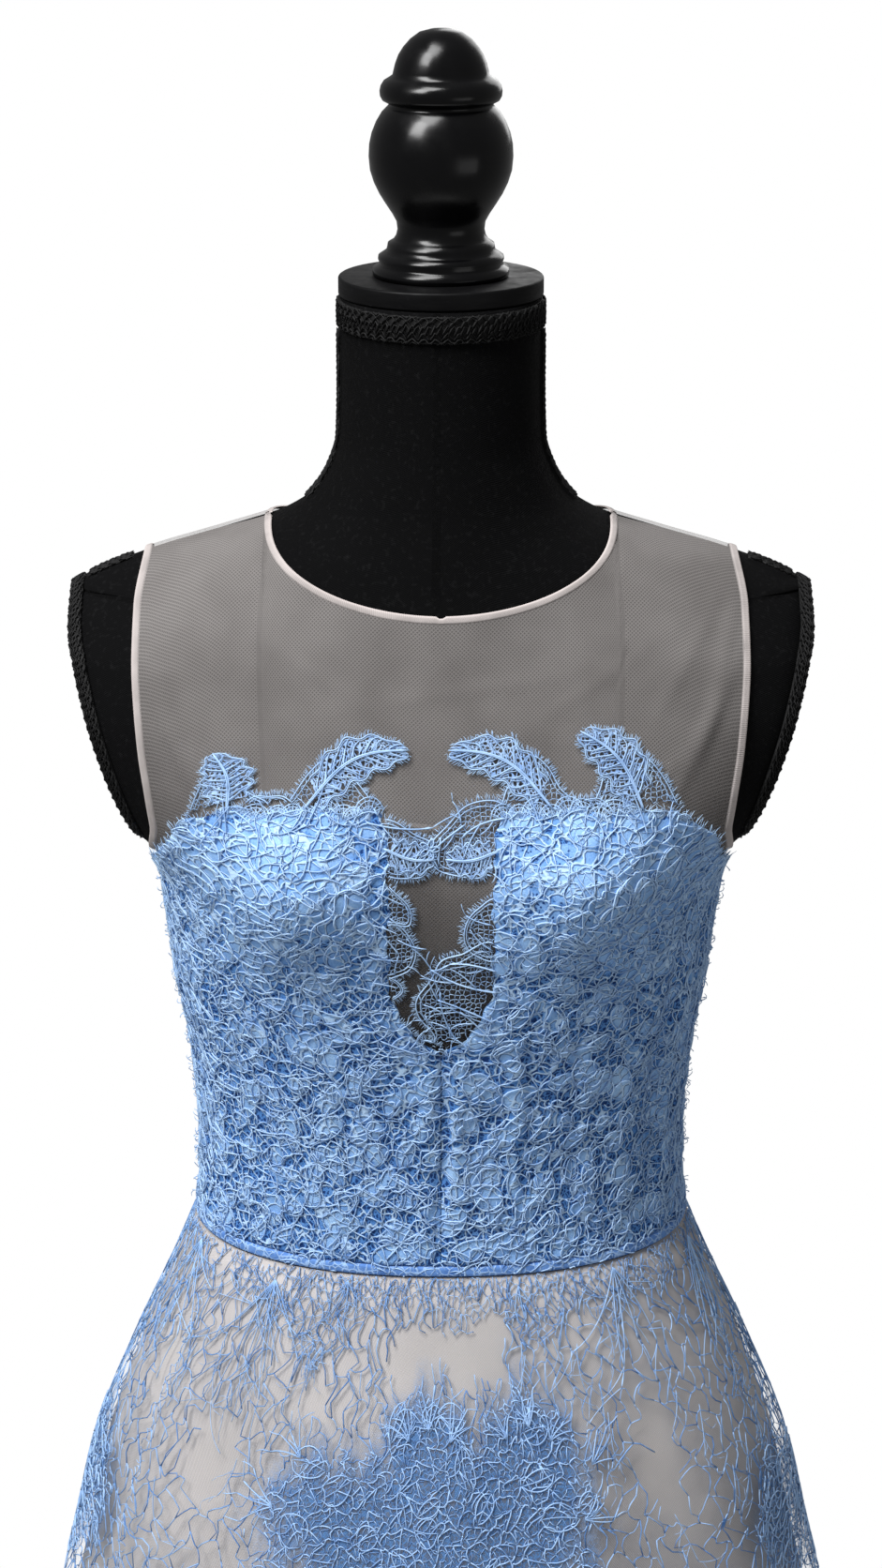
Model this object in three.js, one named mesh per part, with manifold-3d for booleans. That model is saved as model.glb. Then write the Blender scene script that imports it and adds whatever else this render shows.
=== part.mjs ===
// A sleeveless cocktail dress on a limbless padded dress form.
// Units are millimetres. +Z is up, the dress faces -Y, and the origin is on the floor under the pole.
// Every cloth piece is a wall laid on one body surface, so neighbours follow each other at a seam.

import * as THREE from "three";
import Module from "manifold-3d";
import { mergeVertices } from "three/addons/utils/BufferGeometryUtils.js";

// ---------------------------------------------------------------- driving dimensions

const SEAM_GAP = 0.3; // between two pieces that are sewn together
const FORM_INSET = 0.9; // the padded form lies this far inside the body surface
const CLOTH_LIFT = 0.8; // the inside of the dress lies this far outside it
const MESH_THICKNESS = 1.2;
const BODICE_THICKNESS = 1.8;
const LACE_RELIEF = 1.3; // how far the corded petals rise from the bodice
const SKIRT_THICKNESS = 1.0;

const NECK_TOP_Z = 1471;
const SIDE_NECK_Z = 1359;
const SIDE_NECK_X = 85; // half the width of the neck opening
const FRONT_NECK_DROP = 35;
const BACK_NECK_DROP = 14;
const BINDING_WIDTH = 5;
const BINDING_THICKNESS = 2;
const WAIST_Z = 980;
const WAIST_BAND_HEIGHT = 6;
const LINING_HEM_Z = 424;
const LACE_HEM_Z = 416;
const HIP_BOTTOM_Z = 778;

const POLE_RADIUS = 16;
const BASE_RADIUS = 190;
const BASE_HEIGHT = 22;

const DEG = Math.PI / 180;

// ---------------------------------------------------------------- tables

// The worn body: half width, depth to the front, depth to the back, and how square the section is.
const BODY_SECTIONS = [
  { z: 778, w: 163, f: 103, b: 114, n: 2.2 },
  { z: 800, w: 164, f: 104, b: 115, n: 2.2 },
  { z: 850, w: 160, f: 104, b: 113, n: 2.2 },
  { z: 900, w: 149, f: 100, b: 102, n: 2.2 },
  { z: 950, w: 134, f: 93.5, b: 86, n: 2.2 },
  { z: 978, w: 129.5, f: 90, b: 79, n: 2.2 },
  { z: 1000, w: 127, f: 88, b: 76, n: 2.2 },
  { z: 1030, w: 126.5, f: 88, b: 75.5, n: 2.2 },
  { z: 1060, w: 128.5, f: 90, b: 77, n: 2.2 },
  { z: 1090, w: 132, f: 93.5, b: 80, n: 2.25 },
  { z: 1120, w: 137.5, f: 97.5, b: 84, n: 2.3 },
  { z: 1150, w: 141, f: 101, b: 88, n: 2.3 },
  { z: 1175, w: 144, f: 102.5, b: 92, n: 2.3 },
  { z: 1190, w: 152, f: 102.5, b: 94, n: 2.3 },
  { z: 1205, w: 168, f: 101.5, b: 95.5, n: 2.3 },
  { z: 1220, w: 183, f: 99.5, b: 97, n: 2.3 },
  { z: 1240, w: 198, f: 95.5, b: 98, n: 2.3 },
  { z: 1265, w: 209, f: 89, b: 97, n: 2.3 },
  { z: 1290, w: 211, f: 80, b: 92, n: 2.15 },
  { z: 1308, w: 204, f: 74, b: 86, n: 1.85 },
  { z: 1320, w: 192, f: 70, b: 81, n: 1.65 },
  { z: 1330, w: 175, f: 67, b: 76, n: 1.55 },
  { z: 1340, w: 150, f: 64.5, b: 71, n: 1.5 },
  { z: 1350, w: 115, f: 62, b: 66, n: 1.55 },
  { z: 1359, w: 84, f: 59.5, b: 61.5, n: 1.75 },
  { z: 1370, w: 66, f: 57, b: 57, n: 1.95 },
  { z: 1385, w: 56, f: 55.5, b: 52, n: 2.05 },
  { z: 1400, w: 51.5, f: 54.5, b: 48.5, n: 2 },
  { z: 1430, w: 50.7, f: 54, b: 47, n: 2 },
  { z: 1471, w: 50.7, f: 54, b: 47, n: 2 },
];

const BUST = { x: 75, z: 1190, rise: 22, spreadX: 40, spreadZ: 38 };

// Where the flat plate that closes each shoulder cuts the body.
const ARM_PLATE = [
  { z: 1180, x: 152 },
  { z: 1198, x: 156 },
  { z: 1221, x: 164.5 },
  { z: 1243, x: 172 },
  { z: 1272, x: 180.5 },
  { z: 1297, x: 186.5 },
  { z: 1316, x: 189 },
];

// The sleeveless edge of the yoke, the same in front and behind.
const ARM_EDGE = [
  { z: 1185, x: 141 },
  { z: 1205, x: 144 },
  { z: 1232, x: 147.4 },
  { z: 1256, x: 150.5 },
  { z: 1301, x: 153.6 },
  { z: 1320, x: 153.4 },
  { z: 1340, x: 150 },
];

// The top edge of the lace bodice, by angle from the centre front.
const BODICE_TOP = [
  { angle: 0, z: 1228 },
  { angle: 32, z: 1233 },
  { angle: 56, z: 1228 },
  { angle: 65, z: 1215 },
  { angle: 75, z: 1188 },
  { angle: 90, z: 1178 },
  { angle: 105, z: 1186 },
  { angle: 118, z: 1208 },
  { angle: 135, z: 1216 },
  { angle: 180, z: 1218 },
];

// Half the gap between the two front panels: closed low down, then the keyhole, then the bridge.
const KEYHOLE_EDGE = [
  { z: 978, x: SEAM_GAP / 2 },
  { z: 1103, x: SEAM_GAP / 2 },
  { z: 1112, x: 13 },
  { z: 1126, x: 22 },
  { z: 1150, x: 27 },
  { z: 1200, x: 27 },
  { z: 1233, x: 29 },
];

const PRINCESS_SEAM = [
  { z: 978, x: 42 },
  { z: 1040, x: 48 },
  { z: 1100, x: 60 },
  { z: 1160, x: 72 },
  { z: 1233, x: 78 },
];

// The inside of the skirt lining, from the hem to the waist.
const SKIRT_SECTIONS = [
  { z: 410, w: 274, f: 222, b: 228, n: 2, flute: 15 },
  { z: 600, w: 232, f: 184, b: 189, n: 2, flute: 9 },
  { z: 700, w: 209, f: 165, b: 169, n: 2.03, flute: 5 },
  { z: 783, w: 191, f: 150, b: 154, n: 2.06, flute: 2.5 },
  { z: 840, w: 180.5, f: 137, b: 143, n: 2.1, flute: 1.6 },
  { z: 892, w: 163.5, f: 123, b: 128, n: 2.14, flute: 0.6 },
  { z: 942, w: 144, f: 105, b: 104, n: 2.18, flute: 0 },
  { z: 978, w: 130, f: 90.5, b: 79.5, n: 2.2, flute: 0 },
];

// How far the lace overlay floats off the lining.
const OVERLAY_FLOAT = [
  { z: 410, gap: 12 },
  { z: 783, gap: 8.5 },
  { z: 892, gap: 4.2 },
  { z: 950, gap: 1.2 },
  { z: 978, gap: 0.6 },
];

// Lace leaves on the yoke: root, tip, sideways bow of the midrib and half width, in front view.
const YOKE_LEAVES = [
  { name: "lace_leaf_outer_right", rootX: -104, rootZ: 1235.5, tipX: -111, tipZ: 1257, bow: -3, half: 14 },
  { name: "lace_leaf_inner_right", rootX: -61, rootZ: 1241, tipX: -17, tipZ: 1262, bow: 7, half: 11 },
  { name: "lace_leaf_inner_left", rootX: 49, rootZ: 1241, tipX: 5, tipZ: 1262, bow: -7, half: 11 },
  { name: "lace_leaf_outer_left", rootX: 96, rootZ: 1238.5, tipX: 69, tipZ: 1269.5, bow: -5, half: 12 },
];

const BRIDGE_SPRAYS = [
  { name: "lace_bridge_right", rootX: -25, rootZ: 1214, tipX: -3, tipZ: 1210, bow: -2, half: 9 },
  { name: "lace_bridge_left", rootX: 25, rootZ: 1213, tipX: 3, tipZ: 1210, bow: 2, half: 9 },
];

// Turned profiles: radius and height, from the bottom up.
const FINIAL_PROFILE = [
  { r: 33.6, z: 1480.3 },
  { r: 33.6, z: 1484 },
  { r: 30.5, z: 1486 },
  { r: 31, z: 1490 },
  { r: 27, z: 1492.5 },
  { r: 26.5, z: 1496 },
  { r: 22.5, z: 1499 },
  { r: 21.6, z: 1505 },
  { r: 26, z: 1514 },
  { r: 32.5, z: 1525 },
  { r: 35.5, z: 1539 },
  { r: 34, z: 1550 },
  { r: 29, z: 1560 },
  { r: 25.5, z: 1563.5 },
  { r: 28.5, z: 1565.5 },
  { r: 30, z: 1570 },
  { r: 28, z: 1575 },
  { r: 23.5, z: 1577.5 },
  { r: 22.5, z: 1583 },
  { r: 18.5, z: 1591 },
  { r: 11, z: 1598 },
];

// ---------------------------------------------------------------- materials

const MATERIALS = {
  form_gloss: { color: 0x0b0b0c, roughness: 0.25 },
  form_wood: { color: 0x141415, roughness: 0.6 },
  form_jersey: { color: 0x121213, roughness: 0.95 },
  form_braid: { color: 0x0a0a0b, roughness: 0.8 },
  form_metal: { color: 0x1a1a1c, roughness: 0.4, metalness: 0.6 },
  yoke_mesh: { color: 0x8d8784, roughness: 0.8 },
  binding: { color: 0xd9cfcb, roughness: 0.7 },
  lace_blue: { color: 0x7ba3d8, roughness: 0.7 },
  band_blue: { color: 0x7396c3, roughness: 0.6 },
  lining: { color: 0xcdc6c2, roughness: 0.75 },
  zip_metal: { color: 0x8fb0dc, roughness: 0.35, metalness: 0.4 },
};

const group = new THREE.Group();
const wasm = await Module();
wasm.setup();

function addMesh(parent, name, geometry, slot) {
  const { color, roughness, metalness = 0 } = MATERIALS[slot];
  const mesh = new THREE.Mesh(geometry, new THREE.MeshStandardMaterial({ color, roughness, metalness }));
  mesh.name = name;
  parent.add(mesh);
  return mesh;
}

// ---------------------------------------------------------------- smooth curves through tables

// A monotone cubic through a table's rows, so that no bump appears between two rows.
function curve(rows, key, value) {
  const t = rows.map((row) => row[key]);
  const v = rows.map((row) => row[value]);
  const last = t.length - 1;
  const rise = t.slice(1).map((ti, i) => (v[i + 1] - v[i]) / (ti - t[i]));
  const slope = t.map((_, i) => {
    if (i === 0) return rise[0];
    if (i === last) return rise[last - 1];
    const product = rise[i - 1] * rise[i];
    return product > 0 ? (2 * product) / (rise[i - 1] + rise[i]) : 0;
  });
  return (at) => {
    const a = Math.min(Math.max(at, t[0]), t[last]);
    let i = 0;
    while (i < last - 1 && a > t[i + 1]) i += 1;
    const h = t[i + 1] - t[i];
    const s = (a - t[i]) / h;
    const fromEnds = v[i] * (1 + 2 * s) * (1 - s) ** 2 + v[i + 1] * s * s * (3 - 2 * s);
    return fromEnds + h * s * (1 - s) * (slope[i] * (1 - s) - slope[i + 1] * s);
  };
}

function sections(rows) {
  const columns = Object.keys(rows[0]).filter((key) => key !== "z");
  const curves = columns.map((key) => [key, curve(rows, "z", key)]);
  return (z) => Object.fromEntries(curves.map(([key, at]) => [key, at(z)]));
}

const bodySection = sections(BODY_SECTIONS);
const skirtSection = sections(SKIRT_SECTIONS);
const plateX = curve(ARM_PLATE, "z", "x");
const armEdgeX = curve(ARM_EDGE, "z", "x");
const bodiceTopZ = curve(BODICE_TOP, "angle", "z");
const keyholeX = curve(KEYHOLE_EDGE, "z", "x");
const princessX = curve(PRINCESS_SEAM, "z", "x");
const overlayGap = curve(OVERLAY_FLOAT, "z", "gap");

const lerp = THREE.MathUtils.lerp;
const smoothstep = THREE.MathUtils.smoothstep;

// ---------------------------------------------------------------- surfaces

// Angles run from the centre front (0) over the wearer's left side (90) to the centre back (180).

function ringRadius({ w, f, b, n }, angle) {
  const across = Math.abs(Math.sin(angle)) / w;
  const along = Math.abs(Math.cos(angle)) / (Math.cos(angle) > 0 ? f : b);
  return (across ** n + along ** n) ** (-1 / n);
}

function bustRise(x, z) {
  const dx = (Math.abs(x) - BUST.x) / BUST.spreadX;
  const dz = (z - BUST.z) / BUST.spreadZ;
  return BUST.rise * Math.exp(-dx * dx - dz * dz);
}

function bodyPoint(angle, z) {
  const r = ringRadius(bodySection(z), angle);
  const x = r * Math.sin(angle);
  const front = Math.max(Math.cos(angle), 0);
  const blend = Math.min(front * 4, 1);
  return new THREE.Vector3(x, -r * Math.cos(angle) - blend * bustRise(x, z), z);
}

// The angle at which the body ring at height z reaches a given x, in front or behind.
function angleAt(x, z, behind = false) {
  const { w, f, b, n } = bodySection(z);
  const share = Math.min(Math.abs(x) / w, 1);
  const y = (behind ? b : f) * (1 - share ** n) ** (1 / n);
  const angle = Math.atan2(Math.abs(x), y);
  return Math.sign(x) * (behind ? Math.PI - angle : angle);
}

// Lining and overlay are one skirt surface; the overlay floats outside the lining.
function skirtPoint(angle, z, float = 0) {
  const section = skirtSection(z);
  const wave = Math.cos(12 * angle) + 0.45 * Math.cos(7 * Math.abs(angle) + 0.6) * Math.sin(angle) ** 2;
  const r = ringRadius(section, angle) + section.flute * wave + float;
  return new THREE.Vector3(r * Math.sin(angle), -r * Math.cos(angle), z);
}

function surfaceNormal(surface, angle, z) {
  const step = 0.01;
  const around = surface(angle + step, z).sub(surface(angle - step, z));
  const up = surface(angle, z + 50 * step).sub(surface(angle, z - 50 * step));
  return around.cross(up).normalize();
}

function bodyNode(angle, z) {
  return { point: bodyPoint(angle, z), normal: surfaceNormal(bodyPoint, angle, z), angle, z };
}

// ---------------------------------------------------------------- walls

function geometryFrom(points, triangles) {
  const geometry = new THREE.BufferGeometry();
  const positions = points.flatMap((point) => point.toArray());
  geometry.setAttribute("position", new THREE.Float32BufferAttribute(positions, 3));
  geometry.setIndex(triangles.flat());
  geometry.computeVertexNormals();
  return geometry;
}

// A closed wall over a grid of surface nodes: columns run round the body, rows run up it.
function wall(columns, innerOffset, outerOffset) {
  const rows = columns[0].length;
  const count = columns.length;
  const offsetOf = (offset, node) => (typeof offset === "function" ? offset(node) : offset);
  const layer = (offset) =>
    columns.flat().map((node) => node.point.clone().addScaledVector(node.normal, offsetOf(offset, node)));
  const points = [...layer(innerOffset), ...layer(outerOffset)];
  const inner = (i, j) => i * rows + j;
  const outer = (i, j) => (count + i) * rows + j;
  const triangles = [];
  const quad = (a, b, c, d) => {
    const split = points[a].distanceTo(points[c]) <= points[b].distanceTo(points[d]);
    if (split) triangles.push([a, b, c], [a, c, d]);
    else triangles.push([a, b, d], [b, c, d]);
  };
  for (let i = 0; i < count - 1; i += 1) {
    for (let j = 0; j < rows - 1; j += 1) {
      quad(outer(i, j), outer(i + 1, j), outer(i + 1, j + 1), outer(i, j + 1));
      quad(inner(i, j), inner(i, j + 1), inner(i + 1, j + 1), inner(i + 1, j));
    }
    quad(inner(i, 0), inner(i + 1, 0), outer(i + 1, 0), outer(i, 0));
    quad(inner(i + 1, rows - 1), inner(i, rows - 1), outer(i, rows - 1), outer(i + 1, rows - 1));
  }
  for (let j = 0; j < rows - 1; j += 1) {
    quad(inner(0, j + 1), inner(0, j), outer(0, j), outer(0, j + 1));
    const end = count - 1;
    quad(inner(end, j), inner(end, j + 1), outer(end, j + 1), outer(end, j));
  }
  return geometryFrom(points, triangles);
}

// A closed solid through rings of equal count, with a fan over the first and the last ring.
function solidThroughRings(rings) {
  const sides = rings[0].length;
  const middle = (ring) => ring.reduce((sum, p) => sum.add(p), new THREE.Vector3()).divideScalar(sides);
  const points = [...rings.flat(), middle(rings[0]), middle(rings[rings.length - 1])];
  const bottom = rings.length * sides;
  const at = (ring, i) => ring * sides + (i % sides);
  const triangles = [];
  for (let ring = 0; ring < rings.length - 1; ring += 1) {
    for (let i = 0; i < sides; i += 1) {
      triangles.push([at(ring, i), at(ring, i + 1), at(ring + 1, i + 1)]);
      triangles.push([at(ring, i), at(ring + 1, i + 1), at(ring + 1, i)]);
    }
  }
  for (let i = 0; i < sides; i += 1) {
    triangles.push([bottom, at(0, i + 1), at(0, i)]);
    triangles.push([bottom + 1, at(rings.length - 1, i), at(rings.length - 1, i + 1)]);
  }
  return geometryFrom(points, triangles);
}

function steps(count, from = 0, to = 1) {
  return Array.from({ length: count + 1 }, (_, i) => lerp(from, to, i / count));
}

// ---------------------------------------------------------------- the dress form

const TORSO_HEIGHTS = [
  778, 786, 815, 860, 905, 945, 978, 1020, 1065, 1105, 1140, 1165, 1182, 1192, 1202, 1212, 1222, 1234,
  1248, 1265, 1285, 1300, 1311, 1320, 1328, 1335, 1341, 1346, 1351, 1356, 1361, 1366, 1372, 1380, 1391, 1408, 1470.5,
];
const RING_SIDES = 40;
const PLATE_SIDES = 3; // ring edges from the front rim of an arm plate to its middle

// The angle where the body ring meets the arm plate, or about the same angle where it does not.
function plateAngle(z, behind) {
  const { w } = bodySection(z);
  if (z < ARM_PLATE[0].z || w <= plateX(z)) return 80 * DEG;
  const angle = angleAt(plateX(z), z, behind);
  return behind ? Math.PI - angle : angle;
}

function torsoRing(z) {
  const quarter = RING_SIDES / 4;
  const limit = Math.min(plateX(z), bodySection(z).w) - FORM_INSET;
  const quarterAngles = (behind) => {
    const edge = plateAngle(z, behind);
    const before = steps(quarter - PLATE_SIDES, 0, edge);
    const across = steps(PLATE_SIDES, edge, 90 * DEG).slice(1);
    return [...before, ...across];
  };
  const front = quarterAngles(false);
  const back = quarterAngles(true).map((angle) => Math.PI - angle);
  const left = [...front, ...back.reverse().slice(1)];
  const right = left.slice(1, -1).reverse().map((angle) => -angle);
  const shrink = z < HIP_BOTTOM_Z + 4 ? 10 : 0;
  return [...left, ...right].map((angle) => {
    const { point, normal } = bodyNode(angle, z);
    point.addScaledVector(normal.setZ(0).normalize(), -FORM_INSET - shrink);
    point.x = Math.sign(point.x) * Math.min(Math.abs(point.x), z > ARM_PLATE[0].z ? limit : Infinity);
    return point;
  });
}

function turned(profile, segments) {
  const top = profile[profile.length - 1];
  const bottom = profile[0];
  const outline = [{ r: 0, z: bottom.z }, ...profile, { r: 0, z: top.r < 15 ? top.z + 2 : top.z }];
  const geometry = new THREE.LatheGeometry(outline.map(({ r, z }) => new THREE.Vector2(r, z)), segments);
  return geometry.rotateX(Math.PI / 2);
}

function addDressForm() {
  const rounded = (r, z0, z1, edge) => [
    { r: r - edge, z: z0 },
    { r, z: z0 + edge },
    { r, z: z1 - edge },
    { r: r - edge, z: z1 },
  ];
  const discBottom = NECK_TOP_Z - 0.2;
  const collarTop = HIP_BOTTOM_Z - SEAM_GAP;
  const collarBottom = collarTop - 14;
  addMesh(group, "form_finial", turned(FINIAL_PROFILE, 18), "form_gloss");
  addMesh(group, "form_neck_disc", turned(rounded(51, discBottom, 1480, 0.8), 28), "form_wood");
  addMesh(group, "form_torso", solidThroughRings(TORSO_HEIGHTS.map(torsoRing)), "form_jersey");
  addMesh(group, "form_collar", turned(rounded(34, collarBottom, collarTop, 2), 20), "form_metal");
  const pole = rounded(POLE_RADIUS, BASE_HEIGHT + SEAM_GAP, collarBottom - SEAM_GAP, 1);
  addMesh(group, "form_pole", turned(pole, 16), "form_metal");
  addMesh(group, "form_base", turned(rounded(BASE_RADIUS, 0, BASE_HEIGHT, 4), 36), "form_wood");
}

// ---------------------------------------------------------------- braid on the form

const BRAID_WIDTH = 9;
const BRAID_THICKNESS = 2.2;

// The highest point of the shoulder over a given x and y.
function shoulderTop(x, y) {
  let low = 1250;
  let high = 1365;
  for (let pass = 0; pass < 30; pass += 1) {
    const z = (low + high) / 2;
    const angle = Math.atan2(Math.abs(x), -y);
    const inside = Math.hypot(x, y) < ringRadius(bodySection(z), angle);
    if (inside) low = z;
    else high = z;
  }
  return low;
}

function addNeckBraid() {
  const top = NECK_TOP_Z - 2;
  const columns = steps(32, -180 * DEG + 0.003, 180 * DEG - 0.003).map((angle) => [
    bodyNode(angle, top - 13),
    bodyNode(angle, top),
  ]);
  addMesh(group, "braid_neck", wall(columns, SEAM_GAP, SEAM_GAP + BRAID_THICKNESS), "form_braid");
}

function addSideBraids(side, label) {
  const halfAngle = BRAID_WIDTH / 2 / 55;
  const neck = steps(2, 90 * DEG - halfAngle, 90 * DEG + halfAngle).map((angle) =>
    steps(6, 1368, NECK_TOP_Z - 16).map((z) => bodyNode(side * angle, z)),
  );
  if (side < 0) neck.reverse();
  const lift = SEAM_GAP + BRAID_THICKNESS;
  addMesh(group, `braid_neck_side_${label}`, wall(neck, SEAM_GAP, lift), "form_braid");

  const ridge = steps(4, 156, 180).map((x) =>
    steps(2, -BRAID_WIDTH / 2, BRAID_WIDTH / 2).map((y) => {
      const angle = side * Math.atan2(x, -y);
      return bodyNode(angle, shoulderTop(x, y));
    }),
  );
  if (side < 0) ridge.reverse();
  addMesh(group, `braid_shoulder_${label}`, wall(ridge, SEAM_GAP, lift), "form_braid");

  // Round the rim of the arm plate, from the underarm in front over the shoulder tip and down behind.
  const reach = 0.8 * BRAID_WIDTH;
  const rimColumn = (z, behind) => {
    const edge = angleAt(plateX(z) - 0.8, z, behind);
    const inboard = angleAt(plateX(z) - 0.8 - reach, z, behind);
    return [inboard, edge].map((angle) => bodyNode(side * angle, z));
  };
  const tipX = plateX(ARM_PLATE[ARM_PLATE.length - 1].z) - 0.8;
  const tipColumn = (y) =>
    [tipX - reach, tipX].map((x) => bodyNode(side * Math.atan2(x, -y), shoulderTop(x, y)));
  const heights = [1204, 1222, 1240, 1260, 1280, 1297];
  const rim = [
    ...heights.map((z) => rimColumn(z, false)),
    ...[-30, -20, -10, 0, 10, 20, 30, 38].map(tipColumn),
    ...heights.map((z) => rimColumn(z, true)).reverse(),
  ];
  if (side > 0) rim.reverse();
  addMesh(group, `braid_arm_plate_${label}`, wall(rim, SEAM_GAP, lift), "form_braid");
}

// ---------------------------------------------------------------- the yoke

// The neckline, moved out from the neck by a margin, as a height over x.
function necklineZ(x, drop, margin) {
  const share = Math.min(Math.abs(x) / (SIDE_NECK_X + margin), 1);
  return SIDE_NECK_Z - (drop + margin) * (1 - share ** 2) ** (1 / 1.9);
}

// The height where the shoulder ridge is as wide as xOf says.
function ridgeZ(xOf) {
  let low = 1300;
  let high = 1390;
  for (let pass = 0; pass < 30; pass += 1) {
    const z = (low + high) / 2;
    if (bodySection(z).w > Math.abs(xOf(z))) low = z;
    else high = z;
  }
  return low;
}

// The height where the top edge of the bodice crosses a column.
function bodiceEdgeZ(xOf, behind) {
  let low = 1170;
  let high = 1245;
  for (let pass = 0; pass < 30; pass += 1) {
    const z = (low + high) / 2;
    if (z < bodiceTopZ(Math.abs(angleAt(xOf(z), z, behind)) / DEG)) low = z;
    else high = z;
  }
  return high;
}

function yokeNode(x, z, behind) {
  const node = bodyNode(angleAt(x, z, behind), z);
  const keepClear = SEAM_GAP / 2 + 0.05;
  if (Math.abs(node.point.y) < keepClear) node.point.y = behind ? keepClear : -keepClear;
  return node;
}

// Nodes up one column, spaced along the cloth and closer towards the shoulder.
function yokeColumn(xOf, bottom, top, count, behind) {
  const fine = steps(80).map((t) => lerp(top, bottom, t * t)).reverse();
  const trail = fine.map((z) => bodyNode(angleAt(xOf(z), z, behind), z).point);
  const length = [0];
  for (let i = 1; i < trail.length; i += 1) length.push(length[i - 1] + trail[i].distanceTo(trail[i - 1]));
  const total = length[length.length - 1];
  return steps(count).map((t) => {
    const target = total * (1.5 * t - 0.5 * t * t);
    let i = 1;
    while (i < length.length - 1 && length[i] < target) i += 1;
    const z = lerp(fine[i - 1], fine[i], (target - length[i - 1]) / (length[i] - length[i - 1]));
    return yokeNode(xOf(z), z, behind);
  });
}

const YOKE_MARGIN = BINDING_WIDTH + 2.5 * SEAM_GAP;

function yokeColumns(shares, drop, behind) {
  return shares.map((share) => {
    const xOf = (z) => share * (armEdgeX(z) - YOKE_MARGIN);
    const bottom = bodiceEdgeZ(xOf, behind) + 5 * SEAM_GAP;
    const ridge = ridgeZ(xOf) - 0.05;
    const neck = necklineZ(xOf(SIDE_NECK_Z), drop, YOKE_MARGIN);
    const open = Math.abs(xOf(SIDE_NECK_Z)) < SIDE_NECK_X + YOKE_MARGIN;
    return yokeColumn(xOf, bottom, open ? Math.min(neck, ridge) : ridge, 9, behind);
  });
}

function addYoke() {
  const outside = CLOTH_LIFT + MESH_THICKNESS;
  const corner = (SIDE_NECK_X + YOKE_MARGIN) / (armEdgeX(SIDE_NECK_Z) - YOKE_MARGIN);
  const neckShares = [0, 0.25, 0.5, 0.7, 0.85, 0.94, 0.985, 0.999].map((share) => share * corner);
  const half = [...neckShares, corner + 0.004, 0.7, 0.78, 0.85, 0.9, 0.95, 1];
  const across = [...half.slice(1).reverse().map((share) => -share), ...half];
  const front = yokeColumns(across, FRONT_NECK_DROP, false);
  addMesh(group, "yoke_front", wall(front, CLOTH_LIFT, outside), "yoke_mesh");

  const centre = 0.0015; // the centre back opening, as a share of the half width
  const backHalf = [centre, ...half.slice(1)];
  const left = yokeColumns(backHalf, BACK_NECK_DROP, true).reverse();
  const right = yokeColumns(backHalf.map((share) => -share), BACK_NECK_DROP, true);
  addMesh(group, "yoke_back_left", wall(left, CLOTH_LIFT, outside), "yoke_mesh");
  addMesh(group, "yoke_back_right", wall(right, CLOTH_LIFT, outside), "yoke_mesh");
}

// The mesh of the yoke runs on down behind the keyhole between the two front panels.
function addKeyholeMesh() {
  const heights = bodiceHeights(1227).filter((z) => z > 1104);
  const columns = steps(6, -1, 1).map((share) =>
    heights.map((z) => {
      const x = share * (keyholeX(z) - 3 * SEAM_GAP);
      return bodyNode(angleAt(x, z), z);
    }),
  );
  addMesh(group, "keyhole_mesh", wall(columns, CLOTH_LIFT, CLOTH_LIFT + MESH_THICKNESS), "yoke_mesh");
}

function addNeckBinding() {
  const strip = (drop, behind, from, to, count) =>
    steps(count, from, to).map((turn) => {
      const nodeAt = (margin) => {
        const x = (SIDE_NECK_X + margin) * Math.sin(turn);
        const z = Math.min(necklineZ(x, drop, margin), ridgeZ(() => x) - 0.05);
        return yokeNode(x, z, behind);
      };
      return [nodeAt(BINDING_WIDTH), nodeAt(0)];
    });
  const end = 88.5 * DEG;
  const lift = CLOTH_LIFT + BINDING_THICKNESS;
  const front = strip(FRONT_NECK_DROP, false, -end, end, 26);
  const leftBack = strip(BACK_NECK_DROP, true, 0.003, end, 12).reverse();
  const rightBack = strip(BACK_NECK_DROP, true, -end, -0.003, 12).reverse();
  addMesh(group, "neck_binding_front", wall(front, CLOTH_LIFT, lift), "binding");
  addMesh(group, "neck_binding_back_left", wall(leftBack, CLOTH_LIFT, lift), "binding");
  addMesh(group, "neck_binding_back_right", wall(rightBack, CLOTH_LIFT, lift), "binding");
}

// A strip along each armhole, from the lace in front over the shoulder to the lace behind.
function addArmholeBinding(side, label) {
  const column = (inset, behind) => {
    const xOf = (z) => side * (armEdgeX(z) - inset);
    const bottom = bodiceEdgeZ((z) => side * (armEdgeX(z) - BINDING_WIDTH), behind) + 1.5;
    return yokeColumn(xOf, bottom, ridgeZ(xOf) - 0.05, 11, behind);
  };
  const outerFront = column(0, false);
  const innerFront = column(BINDING_WIDTH, false);
  const outerBack = column(0, true).reverse();
  const innerBack = column(BINDING_WIDTH, true).reverse();
  const inner = [...innerFront, ...innerBack];
  const outer = [...outerFront, ...outerBack];
  const columns = side > 0 ? [inner, outer] : [outer, inner];
  const strip = wall(columns, CLOTH_LIFT, CLOTH_LIFT + BINDING_THICKNESS);
  addMesh(group, `armhole_binding_${label}`, strip, "binding");
}

// ---------------------------------------------------------------- the lace bodice

const BODICE_BOTTOM_Z = WAIST_Z + WAIST_BAND_HEIGHT / 2 + SEAM_GAP;
const BODICE_LEVELS = [
  983.3, 1006, 1031, 1056, 1080, 1102, 1109, 1118, 1132, 1152, 1172, 1190, 1203, 1216, 1230,
];

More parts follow.
